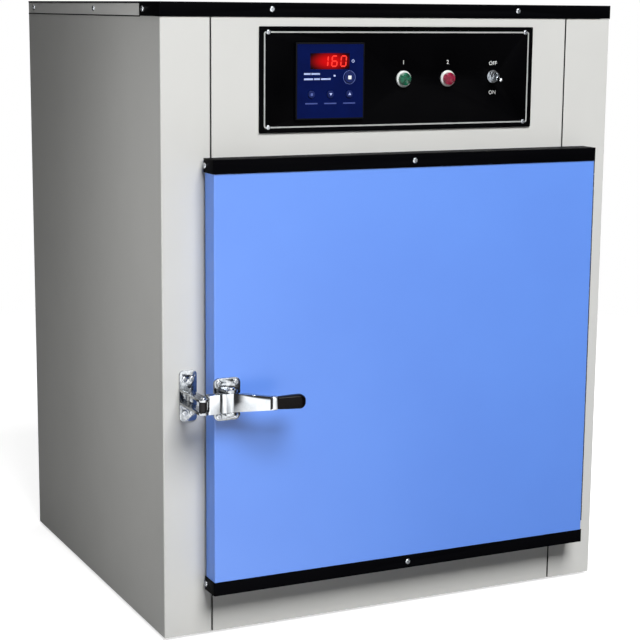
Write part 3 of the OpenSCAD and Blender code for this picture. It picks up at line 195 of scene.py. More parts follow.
@dataclass(frozen=True)
class Finish:
    """A real finish: a colour that drifts a little, and a fine grain in its gloss and its relief.

    Attributes:
        name, colour: its common name and its sRGB colour.
        drift, drift_mm: the sRGB colour of its broad soft patches, and their size.
        grain_mm, deep_mm, grain: the spacing, the height and the run of its fine grain.
        rough, spread: the mean roughness, and how far it strays with the grain and the patches.
        metal: 1 for bare metal and 0 for the rest.
        slot: the record's material slot of new pieces in it; it is not used.
        coat: the share of a clear glossy coat.
        specular: how strongly it mirrors, where plain plastic has 0.5.
        settings: further constants of the shader, by socket name.
    """

    name: str
    colour: str
    drift: str
    drift_mm: float
    grain_mm: float
    deep_mm: float
    rough: float
    spread: float = 0.05
    metal: float = 0.0
    slot: str = ""
    grain: Grain = Grain.EVEN
    coat: float = 0.0
    specular: float = 0.5
    settings: dict[str, object] = field(default_factory=dict)

    def build(self) -> bpy.types.Material:
        """Makes the finish's material.

        Returns:
            The material, or the one made before under the same name.
        """
        known = bpy.data.materials.get(self.name)
        if known:
            return known
        material = bpy.data.materials.new(self.name)
        tree = bare_tree(material)
        place = add(tree, "TexCoord").outputs["Object"]
        run = add(tree, "Mapping", {"Vector": place, "Scale": self.grain.value})
        patches = add(tree, "TexNoise", {"Vector": place, "Scale": per_mm(self.drift_mm), "Detail": 3.0})
        fine = add(tree, "TexNoise", {"Vector": run, "Scale": per_mm(self.grain_mm), "Detail": 4.0})
        on = Ground(tree, place, patches, fine)
        relief = {"Height": self.height(on), "Distance": self.deep_mm * MM, "Strength": 1.0}
        shader = add(tree, "BsdfPrincipled", {
            "Base Color": self.colouring(on),
            "Roughness": self.gloss(on),
            "Normal": add(tree, "Bump", relief),
            "Metallic": self.metal,
            "Coat Weight": self.coat,
            "Specular IOR Level": self.specular,
            **self.settings,
            **self.extras(on),
        })
        add(tree, "OutputMaterial", [shader])
        return material

    def colouring(self, on: Ground) -> Node:
        """The colour: the drift's share grows with the broad pattern.

        Args:
            on: what it is painted on.

        Returns:
            The node that gives the colour.
        """
        share = add(on.tree, "MapRange", [on.patches, *NOISE_MIDDLE])
        colours = {"Factor": share, 6: linear(self.colour), 7: linear(self.drift)}
        return add(on.tree, "Mix", colours, data_type="RGBA")

    def gloss(self, on: Ground) -> Node:
        """The roughness: the sum of both patterns, spread round the mean roughness.

        Args:
            on: what it is painted on.

        Returns:
            The node that gives the roughness.
        """
        both = add(on.tree, "Math", [on.patches, on.fine])
        ends = max(self.rough - self.spread, 0.02), min(self.rough + self.spread, 1.0)
        return add(on.tree, "MapRange", [both, *(2 * value for value in NOISE_MIDDLE), *ends])

    def height(self, on: Ground) -> Node:
        """What the relief follows: the fine pattern."""
        return on.fine

    def extras(self, on: Ground) -> dict[str, object]:
        """What one kind of finish adds to the shader, by socket name; a plain finish adds nothing."""
        return {}


@dataclass(frozen=True)
class LitWindow(Finish):
    """A smoked red window with light behind its middle, which falls off towards its ends.

    Attributes:
        centre, half: the lit patch's middle, and half its width and height, in metres.
        fade: how many of those halves out the light is gone, and is full.
        glow: the sRGB colour of the light.
    """

    centre: Triple = (0, 0, 0)
    half: Pair = (0.0265, 0.0115)
    fade: Pair = (1.25, 0.2)
    glow: str = "#d20606"

    def extras(self, on: Ground) -> dict[str, object]:
        """The light: an S-curve of the distance from the middle, counted in half widths and heights.

        Args:
            on: what it is painted on.

        Returns:
            The light's colour and its strength, by socket name.
        """
        reach = distance(on.tree, on.place, self.centre, (1 / self.half[0], 0.0, 1 / self.half[1]))
        light = add(on.tree, "MapRange", [reach, *self.fade], **SMOOTH)
        return {"Emission Color": linear(self.glow), "Emission Strength": light}


@dataclass(frozen=True)
class RingedLens(Finish):
    """A clear coloured lens with fine rings moulded round its axis.

    Attributes:
        axis: a point on the lens's axis, which runs along Y, in metres.
        pitch_mm: the spacing of the rings.
    """

    axis: Triple = (0, 0, 0)
    pitch_mm: float = 1.6

    def height(self, on: Ground) -> Node:
        """The rings: a sine of the distance from the axis.

        Args:
            on: what it is painted on.

        Returns:
            The node that gives the height.
        """
        reach = distance(on.tree, on.place, self.axis, (1.0, 0.0, 1.0))
        turn = add(on.tree, "Math", [reach, math.tau * per_mm(self.pitch_mm)], operation="MULTIPLY")
        return add(on.tree, "Math", [turn], operation="SINE")


@dataclass(frozen=True)
class FaceCoat(Finish):
    """A clear coat sprayed square on: full on what faces front or back, and none on the folded edges.

    Attributes:
        facing: the normal's shares along the depth at which the coat starts and is full.
    """

    facing: Pair = (0.2, 0.9)

    def extras(self, on: Ground) -> dict[str, object]:
        """The coat: it grows with how far the surface's own normal lies along the depth axis.

        Args:
            on: what it is painted on.

        Returns:
            The coat's share, by socket name.
        """
        depth = add(on.tree, "SeparateXYZ", [add(on.tree, "TexCoord").outputs["Normal"]]).outputs["Y"]
        square_on = add(on.tree, "Math", [depth], operation="ABSOLUTE")
        return {"Coat Weight": add(on.tree, "MapRange", [square_on, *self.facing, 0.0, self.coat])}


@dataclass(frozen=True)
class HeatTint(Finish):
    """An oxidised heater tube: violet bands over brown grey, where the tube ran hottest.

    Attributes:
        tint, tint_share: the sRGB colour of the bands, and how much of it they have at most.
        band_mm: the spacing of the bands along the depth.
    """

    tint: str = "#57506b"
    tint_share: float = 0.6
    band_mm: float = 90.0

    def colouring(self, on: Ground) -> Node:
        """The base colour, with the tint laid over it in wandering bands.

        Args:
            on: what it is painted on.

        Returns:
            The node that gives the colour.
        """
        base = super().colouring(on)
        # A wave texture has about three bands to a unit
        wave = {"Vector": on.place, "Scale": per_mm(self.band_mm) / 3, "Distortion": 4.0, "Detail": 2.0}
        bands = add(on.tree, "TexWave", wave, bands_direction="Y").outputs["Fac"]
        share = add(on.tree, "MapRange", {"Value": bands, "To Max": self.tint_share})
        return add(on.tree, "Mix", {"Factor": share, 6: base, 7: linear(self.tint)}, data_type="RGBA")


# Each finish's values are its name, colour, drift colour, patch size, grain spacing, grain height,
# roughness and roughness spread; what a plain finish lacks comes after them by name. Brushed lines, die
# lines and the texture of mouldings and inks are too fine to show in a render, so they are drawn as
# coarse as they need to show, at 0.5 to 0.9 mm.

# Stoved acrylic on steel sheet: pale warm grey, satin, with the faint orange peel of a sprayed coat
GREY_ENAMEL = Finish("stoved acrylic, pale grey", "#d3d3d0", "#cfcfcc", 160, 1.6, 0.010, 0.42, specular=0.45)
# The same coat on the rim under the top, sprayed apart from the sides and a shade paler
RIM_ENAMEL = Finish("stoved acrylic, rim grey", "#e6e6e3", "#e0e0dd", 120, 1.6, 0.010, 0.42, specular=0.45)
# The same coat on the sheets that face away, one shade down as painted shade, and a little drier
SHADED_GREY_ENAMEL = Finish("stoved acrylic, grey with painted shade", "#a9aca7", "#a1a49f", 140, 1.6, 0.010, 0.48, specular=0.35)
# Polyester powder coat: deep black with a fine leathery peel, which breaks up its highlights
POWDER_BLACK = Finish("polyester powder coat, black", "#050507", "#060608", 60, 1.1, 0.020, 0.46, 0.012,
                      slot="black_paint", specular=0.01)
# Stoved acrylic in mid blue under a clear satin coat on the door's face, for a soft whitish sheen
BLUE_ENAMEL = FaceCoat("stoved acrylic, mid blue", "#6293f0", "#5f8fec", 220, 1.8, 0.007, 0.38, 0.04,
                       coat=1.0, settings={"Coat Roughness": 0.36})
# Bright chromium over nickel: nearly a mirror, with a slow ripple left by polishing
CHROME = Finish("bright chromium plate", "#b4b7ba", "#a8acb0", 14, 7.0, 0.012, 0.09, 0.03, 1, "chrome")
# The same plate on a die casting that wasn't polished flat: dimples break the room into light and dark
CAST_CHROME = Finish("chromium plate on a die casting", "#a6a9ac", "#85898d", 6, 2.4, 0.160, 0.12, 0.04, 1,
                     "chrome")
# Bright zinc plate on screws and hinge strip: paler and softer than chrome, with a faint cloud
ZINC = Finish("bright zinc plate", "#b3b6ba", "#9fa3a8", 4, 1.0, 0.006, 0.24, 0.06, 1)
# Brushed stainless sheet, lines along X and lines up and down: the lines draw the gloss out across them
STEEL_ACROSS, STEEL_UPRIGHT = (
    Finish(f"brushed stainless, lines {way}", "#c3c5c7", "#bec0c3", 90, 0.8, 0.006, 0.30, 0.03, 1, grain=run)
    for way, run in (("across", Grain.ALONG_X), ("upright", Grain.ALONG_Z)))
# Drawn stainless wire, electropolished: bright with faint die lines
DRAWN_WIRE = Finish("electropolished stainless wire", "#d0d2d4", "#c4c7ca", 40, 0.7, 0.004, 0.20, metal=1,
                    grain=Grain.ALONG_Y)
# Mill-finish aluminium sheet: soft grey with rolling lines
MILL_ALUMINIUM = Finish("mill finish aluminium", "#c4c6c8", "#b7babd", 50, 0.9, 0.006, 0.38, 0.07, 1,
                        grain=Grain.ALONG_X)
# Black-anodised extrusion of the relay's heat sink: dark and dry with fine drawing lines
BLACK_ANODISED = Finish("black anodised extrusion", "#232427", "#2b2d31", 40, 0.8, 0.008, 0.42, 0.06,
                        grain=Grain.ALONG_Y)
# Japanned motor shell: thick black lacquer over stacked steel, slightly wavy
JAPAN_BLACK = Finish("black japan lacquer", "#1f2125", "#2a2c31", 30, 2.5, 0.020, 0.33, 0.06)
# Moulded ABS of the controller's bezel: near black with a fine spark-eroded texture
ABS_BLACK = Finish("moulded ABS, black", "#08090d", "#0c0d12", 30, 0.6, 0.012, 0.46, slot="black_plastic",
                   specular=0.05)
# Polyester film over the controller's face: deep blue, even and softly glossy
FACE_FILM = Finish("polyester film, deep blue", "#07144a", "#061142", 30, 0.8, 0.003, 0.34, 0.04,
                   specular=0.03)
# Silicone-rubber key tops: deep blue, a shade over the film's, matt
KEY_SILICONE = Finish("silicone key top", "#0d1e58", "#0b1a4f", 6, 0.5, 0.004, 0.50, specular=0.2)
# Satin lacquer over the black-printed aluminium control plate: black, with soft reflections
PLATE_LACQUER = Finish("satin lacquer on aluminium, black", "#030304", "#050506", 80, 1.4, 0.004, 0.34, 0.04,
                       slot="black_paint", specular=0.01)
# Screen inks, slightly dry: white, silver, a pale one on the film, the same printed thin, so that the
# blue shows through, which on the set key also stands for its dim glint as a painted highlight, and thinner
# still, for what is nearly worn off
WHITE_INK, SILVER_INK, PALE_INK, THIN_INK_AND_HIGHLIGHT, DIM_INK = (
    Finish(f"screen ink, {name}", colour, drift, patch, 0.5, 0.004, rough, slot="lamp_white")
    for name, colour, drift, patch, rough in (
        ("white", "#eef0f0", "#e6e8e8", 20, 0.5), ("silver", "#b4b6b5", "#a8aaa9", 12, 0.42),
        ("pale blue", "#b4c1ee", "#a9b7e6", 20, 0.5), ("thin blue", "#5565a4", "#4c5c9c", 12, 0.5),
        ("worn blue", "#3c4c90", "#354588", 12, 0.5)))
# Polycarbonate ring of the lamps: white, glossy, a little milky
LAMP_RING = Finish("polycarbonate, opal white", "#e0e5e2", "#d2d7d5", 12, 1.2, 0.003, 0.16, 0.04, coat=0.6)
# Painted shadow in the joints between the sheets: a nearly black, dull strip that stands for the shadow of
# the joint
JOINT_SHADOW_BLACK = Finish("black strip, painted joint shadow", "#0e0e0f", "#161617", 9, 0.7, 0.010, 0.62, 0.06,
                     slot="rubber", specular=0.1)
# Nitrile-rubber feet: black, matt, dusty
NITRILE = Finish("nitrile rubber", "#1b1b1d", "#242426", 12, 0.7, 0.015, 0.72, 0.07)
# Extruded silicone seal: brick red, soft sheen, fine grain
SILICONE_RED = Finish("extruded silicone, brick red", "#a8442f", "#9c3d2a", 18, 0.9, 0.010, 0.48, 0.06,
                      slot="seal", settings={"Subsurface Weight": 0.08, "Subsurface Scale": 0.002})
# Resin-bonded glass wool: straw yellow, matted short strands
GLASS_WOOL = Finish("glass wool", "#dccb7e", "#c9b566", 22, 2.2, 0.900, 0.95, 0.04, slot="glass_wool",
                    settings={"Sheen Weight": 0.3, "Sheen Roughness": 0.6})
# Steatite of the terminal block: off-white, unglazed, faintly mottled
STEATITE = Finish("unglazed steatite", "#e6e0d0", "#dbd3bf", 7, 0.7, 0.015, 0.62, 0.06)
# Nylon of the mains gland: dark grey, slightly waxy
NYLON = Finish("moulded nylon, dark grey", "#2f3134", "#37393d", 14, 0.8, 0.010, 0.42)
# Phenolic of the grip: black, polished, with a hint of brown
PHENOLIC = Finish("polished phenolic, black", "#070405", "#0b0708", 10, 2.0, 0.006, 0.24,
                  slot="black_plastic", specular=0.06)
# Acetal of the strike roller, and of the black ring behind the collar, which is a painted shadow of the seam
# there: black, smooth, half matt
ACETAL = Finish("acetal, black", "#0c0c0e", "#121214", 8, 0.8, 0.005, 0.35, slot="black_plastic",
                specular=0.2)
# Oxidised heater tube: brown grey, dull, with heat tint
HEATER_TUBE = HeatTint("oxidised heater tube", "#6d6459", "#544c45", 30, 0.8, 0.006, 0.48, 0.08, 1)
# Light-emitting bars of the display: bright red, brightest to the eye in the smoked window
LIT_BAR = Finish("light-emitting bar, red", "#c81414", "#b81010", 10, 1.0, 0.001, 0.4, 0.02, slot="display",
                 specular=0.1, settings={"Emission Color": linear("#ff4a3c"), "Emission Strength": 0.7})


def dress(finish: Finish, *nodes: str) -> None:
    """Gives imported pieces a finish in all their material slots.

    Args:
        finish: the finish.
        *nodes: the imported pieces' names.
    """
    for name in nodes:
        for place in frame["nodes"][name].material_slots:
            place.material = finish.build()
        LOG.info("dressed %s in %s", name, finish.name)


def body_of(node: str) -> str:
    """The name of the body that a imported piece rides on."""
    return frame["nodes"][node]["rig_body"]


def box_of(node: str) -> tuple[Vector, Vector, Vector]:
    """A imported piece's lowest corner, highest corner and middle."""
    low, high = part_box(node)
    return low, high, (low + high) / 2


def grid_faces(rows: int, columns: int, close_rows: bool = False) -> Array:
    """The four-sided faces of a grid of points, row after row, with each row closed on itself.

    A face goes from a point to the one in the next row, to that one's neighbour, and back by its own.

    Args:
        rows, columns: the number of rows, and of points in a row.
        close_rows: joins the last row to the first.

    Returns:
        An array of four point numbers a face.
    """
    i = np.arange(rows if close_rows else rows - 1)[:, None]
    j = np.arange(columns)[None, :]
    below, after = (i + 1) % rows, (j + 1) % columns
    corners = [i * columns + j, below * columns + j, below * columns + after, i * columns + after]
    return np.stack(np.broadcast_arrays(*corners), axis=-1).reshape(-1, 4)


def show(name: str, data: bpy.types.ID) -> Thing:
    """Makes an object of a mesh, a text, a lamp or a camera, at the origin, and puts it in the scene.

    Args:
        name: the object's name.
        data: what it shows.

    Returns:
        The new object.
    """
    thing = bpy.data.objects.new(name, data)
    bpy.context.scene.collection.objects.link(thing)
    return thing


def rework(mesh: Mesh, near: float, flat: float = 0.0, outwards: bool = False) -> None:
    """Joins a mesh's near points, then melts its flat faces together or turns its faces outwards.

    Args:
        mesh: the mesh.
        near: the distance within which points are joined.
        flat: the angle in degrees under which faces become one, or 0 for none.
        outwards: turns the faces outwards.
    """
    shape = bmesh.new()
    shape.from_mesh(mesh)
    bmesh.ops.remove_doubles(shape, verts=shape.verts, dist=near)
    if flat:
        bmesh.ops.dissolve_limit(shape, angle_limit=math.radians(flat), verts=shape.verts, edges=shape.edges)
    if outwards:
        bmesh.ops.recalc_face_normals(shape, faces=shape.faces)
    shape.to_mesh(mesh)
    shape.free()


def settle(name: str, mesh: Mesh, finish: Finish, body: str, smooth: bool = True) -> Thing:
    """Closes a mesh's seams, turns its faces outwards and makes it a piece in its finish's material.

    Args:
        name, mesh: the piece's name, and its mesh in place.
        finish, body: its finish, and the body that it rides on.
        smooth: rounds its shading.

    Returns:
        The new object.
    """
    rework(mesh, SEAM, outwards=True)
    mesh.polygons.foreach_set("use_smooth", [smooth] * len(mesh.polygons))
    mesh.materials.clear()
    mesh.materials.append(finish.build())
    thing = show(name, mesh)
    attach(thing, body)
    LOG.info("made %s: %d faces in %s", name, len(mesh.polygons), finish.name)
    return thing


def piece(name: str, points: Array, faces: Array | list, finish: Finish, body: str,
          smooth: bool = False) -> Thing:
    """Makes a mesh piece that stays at the origin and rides on a body.

    Args:
        name: the piece's name.
        points, faces: its points, and its faces as point numbers.
        finish, body: its finish, and the body that it rides on.
        smooth: rounds its shading.

    Returns:
        The new object.
    """
    mesh = bpy.data.meshes.new(name)
    mesh.from_pydata(points.reshape(-1, 3), [], faces if isinstance(faces, list) else faces.tolist())
    return settle(name, mesh, finish, body, smooth)


def round_rectangle(width: float, height: float, radius: float) -> tuple[Array, Array]:
    """A rectangle with round corners about the origin, as a closed run of points.

    Each corner is a quarter circle of eight points about its own centre, so a point is that centre
    plus the radius times the outward direction.

    Args:
        width, height, radius: its sizes over all and its corner radius.

    Returns:
        The points and their outward directions, both in two columns.
    """
    quarter = np.linspace(0, math.pi / 2, 8)
    turn = (quarter[None, :] + np.arange(4)[:, None] * math.pi / 2).ravel()
    out = np.stack([np.cos(turn), np.sin(turn)], axis=1)
    signs = np.repeat(np.array([[1, 1], [-1, 1], [-1, -1], [1, -1]]), len(quarter), axis=0)
    centres = signs * np.array([width / 2 - radius, height / 2 - radius])
    return centres + radius * out, out


def carry(path: Array, out: Array, profile: Array) -> tuple[Array, Array]:
    """Carries a closed profile along a flat path.

    A point is the path's point plus the profile's first number along the outward direction, and lies
    off the path's plane by the profile's second number.

    Args:
        path, out: the path's points and its outward directions there, in two columns.
        profile: the profile's points, in two columns.

    Returns:
        The points' places in the plane, and their distances off it.
    """
    flat = path[:, None, :] + out[:, None, :] * profile[None, :, :1]
    return flat, np.broadcast_to(profile[None, :, 1], flat.shape[:2])


def frame_band(middle: Vector, width: float, height: float, radius: float,
               profile: Array) -> tuple[Array, Array]:
    """Carries a closed profile round a rounded rectangle that stands upright in X and Z.

    Args:
        middle, width, height, radius: the rectangle's middle, its sizes and its corner radius.
        profile: the profile's outward distances and depths, in two columns.

    Returns:
        The points and the faces.
    """
    path, out = round_rectangle(width, height, radius)
    flat, deep = carry(path, out, profile)
    points = np.stack([middle.x + flat[..., 0], deep, middle.z + flat[..., 1]], axis=-1)
    return points, grid_faces(len(path), len(profile), True)


def plates(outlines: list[Array], front: float, thick: float) -> tuple[Array, list]:
    """Thin flat prisms that face the front, one for each outline in X and Z.

    A prism is its outline in front and again behind, an end on each and a side across every edge.

    Args:
        outlines: the outlines' corners, each in two columns.
        front, thick: the Y of their front faces, and their thickness.

    Returns:
        The points and the faces.
    """
    points, faces, start = [], [], 0
    for outline in outlines:
        n = len(outline)
        for depth in (front, front + thick):
            points.append(np.column_stack([outline[:, 0], np.full(n, depth), outline[:, 1]]))
        ring = np.arange(n)
        after = (ring + 1) % n
        faces.append((start + ring).tolist())
        faces.append((start + n + ring[::-1]).tolist())
        faces.extend((start + np.stack([ring, after, after + n, ring + n], axis=1)).tolist())
        start += 2 * n
    return np.concatenate(points), faces


def bar(x: float, z: float, width: float, height: float) -> Array:
    """The four corners of an upright bar about its middle."""
    signs = np.array([[-1, -1], [1, -1], [1, 1], [-1, 1]])
    return np.array([x, z]) + signs * [width / 2, height / 2]


def softened(node: str, finish: Finish, edge_mm: float) -> None:
    """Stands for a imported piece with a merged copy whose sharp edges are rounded.

    Near points are joined before the rounding, and the slivers that it leaves are welded after it. The
    short edges of screw holes hold it back, so that a piece that has them is rounded less.

    Args:
        node, finish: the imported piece, and the copy's finish.
        edge_mm: the radius of the rounded edges.
    """
    mesh = frame["nodes"][node].data.copy()
    rework(mesh, SLIVER, flat=FLAT)
    thing = settle(f"{node}_rounded", mesh, finish, body_of(node))
    soften = thing.modifiers.new("rounded edges", "BEVEL")
    soften.width = edge_mm * MM
    soften.segments = 2
    soften.limit_method = "ANGLE"
    soften.angle_limit = math.radians(SHARP)
    soften.harden_normals = True
    thing.modifiers.new("joined slivers", "WELD").merge_threshold = TWIN
    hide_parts(node)


@dataclass
class Cabinet:
    """The painted outer sheets, the rim, the trim strip, the feet and what stands on the base.

    Attributes:
        trim_edge_mm: the radius on the trim strip's edges.
        corner_mm: the radius of the body's back corners.
        hem_mm, hem_down_mm: the height of the top sheet's folded edge, and how far it stops under the top.
        joint_shadow_mm: the height of the dark strip in the joint under the rim, a painted shadow of that
            joint.
            proud_mm, sunk_mm: how far the hem and that strip stand out, and how deep they and the strips
                beside the
            fascia lie in the sheets.
            seam_mm, seam_proud_mm, seam_in_mm: the width of the painted shadow strips over the joints beside
                the
            fascia, how far they stand out, and how far they stop from its ends.
    """

    trim_edge_mm: float = 0.3
    corner_mm: float = 2.0
    hem_mm: float = 2.4
    hem_down_mm: float = 0.02
    joint_shadow_mm: float = 1.5
    proud_mm: float = 0.25
    sunk_mm: float = 0.4
    seam_mm: float = 1.5
    seam_proud_mm: float = 0.04
    seam_in_mm: float = 1.0

    def build(self) -> None:
        """Dresses the sheets, rounds the trim strip's edges and lays the two lines round the rim: the top's
        hem and a painted shadow of the rim's joint.
        """
        dress(GREY_ENAMEL, "left_side_panel", "right_side_panel", "front_fascia", "back_panel")
        dress(RIM_ENAMEL, "cover_rim")
        # The base pan and the cradle get the darker copy of the grey coat: painted shade
        dress(SHADED_GREY_ENAMEL, "base_pan", "chamber_cradle")
        dress(POWDER_BLACK, "top_cover")
        softened("top_front_trim", POWDER_BLACK, self.trim_edge_mm)
        dress(ZINC, "cabinet_screws")
        dress(NITRILE, "feet")
        dress(NYLON, "mains_gland")
        dress(STEATITE, "terminal_block")
        dress(STEEL_ACROSS, "vent_collar")
        dress(CHROME, "vent_shutter")
        top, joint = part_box("top_cover")[1].z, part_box("cover_rim")[0].z
        self.line_round("top_cover_hem", top - self.hem_mm * MM, top - self.hem_down_mm * MM, POWDER_BLACK)
        # A dark strip in the joint under the rim: a painted shadow of that joint
        self.line_round("rim_joint_shadow", joint - self.joint_shadow_mm * MM, joint, JOINT_SHADOW_BLACK)
        self.seams()

    def seams(self) -> None:
        """Painted shadows of the two upright joints beside the fascia: dark flat bars laid over the gaps."""
        low, high, middle = box_of("front_fascia")
        tall = high.z - low.z - 2 * self.seam_in_mm * MM
        bars = [bar(edge, middle.z, self.seam_mm * MM, tall)
                for edge in (low.x - self.seam_mm / 4 * MM, high.x + self.seam_mm / 4 * MM)]
        shadow_bars = plates(bars, low.y - self.seam_proud_mm * MM, self.sunk_mm * MM)
        piece("fascia_joint_shadows", *shadow_bars, JOINT_SHADOW_BLACK, "cabinet")

    def line_round(self, name: str, low_z: float, high_z: float, finish: Finish) -> None:
        """A thin upright band round the sides and the back, from one end of the trim strip to the other.

        The band's path is the straight right side, the two round back corners and the left side; each
        of the profile's four corners lies at its own distance outwards from that path.

        Args:
            name, finish: the band's name and its finish.
            low_z, high_z: the Z of its lower and its upper edge.
        """
        low, high, middle = box_of("top_cover")
        path, out = round_rectangle(high.x - low.x, high.y - low.y, self.corner_mm * MM)
        end = [(high.x - low.x) / 2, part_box("top_front_trim")[1].y - middle.y]
        back = len(path) // 2
        path = np.concatenate([[end], path[:back], [[-end[0], end[1]]]])
        out = np.concatenate([[[1, 0]], out[:back], [[-1, 0]]])
        deep, proud = -self.sunk_mm * MM, self.proud_mm * MM
        profile = np.array([[deep, low_z], [proud, low_z], [proud, high_z], [deep, high_z]])
        flat, up = carry(path, out, profile)
        points = np.stack([middle.x + flat[..., 0], middle.y + flat[..., 1], up], axis=-1)
        last = 4 * (len(path) - 1)
        ends = [[0, 1, 2, 3], [last + 3, last + 2, last + 1, last]]
        piece(name, points, [*grid_faces(len(path), 4).tolist(), *ends], finish, "cabinet")


class Segment(Enum):
    """The seven bars of a digit, as the middle in X and Z and whether the bar lies flat."""

    TOP = (0.0, 1.0, True)
    TOP_LEFT = (-0.5, 0.5, False)
    TOP_RIGHT = (0.5, 0.5, False)
    MIDDLE = (0.0, 0.0, True)
    LOW_LEFT = (-0.5, -0.5, False)
    LOW_RIGHT = (0.5, -0.5, False)
    LOW = (0.0, -1.0, True)


LIT = {
    "0": "TOP TOP_LEFT TOP_RIGHT LOW_LEFT LOW_RIGHT LOW",
    "1": "TOP_RIGHT LOW_RIGHT",
    "6": "TOP TOP_LEFT MIDDLE LOW_LEFT LOW_RIGHT LOW",
}


@dataclass
class Readout:
    """The red digits of the display, which lie on its window.

    Attributes:
        number: the number that it shows.
        digit_h, digit_w: a digit's height and width between its outer bars' middles.
        pitch: the spacing of the digits.
        bar_w, bar_in: a bar's width, and how far its tips stop from the corners.
        lean: how far a digit's top leans to the right, as a share of its height.
        last: how far right of the window's middle the last digit stands.
        proud, thick: how far the bars stand out of the window, and their thickness.
    """

    number: str = "160"
    digit_h: float = 12.7
    digit_w: float = 7.0
    pitch: float = 12.7
    bar_w: float = 1.8
    bar_in: float = 0.25
    lean: float = 0.08
    last: float = 19.0
    proud: float = 0.05
    thick: float = 0.25

    def segment(self, spot: Segment, x: float, z: float) -> Array:
        """One bar with pointed ends, leaning with its digit.

        The bar's six corners are its two tips and its four shoulders; the lean then moves each corner
        to the right by its height over the digit's middle.

        Args:
            spot: which bar it is.
            x, z: the digit's middle.

        Returns:
            The bar's outline in X and Z.
        """
        middle_x, middle_z, flat = spot.value
        half = (self.digit_w if flat else self.digit_h / 2) / 2 - self.bar_in
        thick = self.bar_w / 2
        along = np.array([-half, -half + thick, half - thick, half, half - thick, -half + thick])
        across = np.array([0, thick, thick, 0, -thick, -thick])
        corners = np.column_stack([along, across] if flat else [across, along])
        corners += [middle_x * self.digit_w, middle_z * self.digit_h / 2]
        corners[:, 0] += corners[:, 1] * self.lean
        return corners * MM + [x, z]

    def build(self) -> None:
        """Makes the lit bars of every digit as one piece on the window."""
        low, _, middle = box_of("display_window")
        start = middle.x + (self.last - (len(self.number) - 1) * self.pitch) * MM
        outlines = [self.segment(Segment[bar_name], start + i * self.pitch * MM, middle.z)
                    for i, digit in enumerate(self.number) for bar_name in LIT[digit].split()]
        bars = plates(outlines, low.y - self.proud * MM, self.thick * MM)
        piece("display_digits", *bars, LIT_BAR, "cabinet")


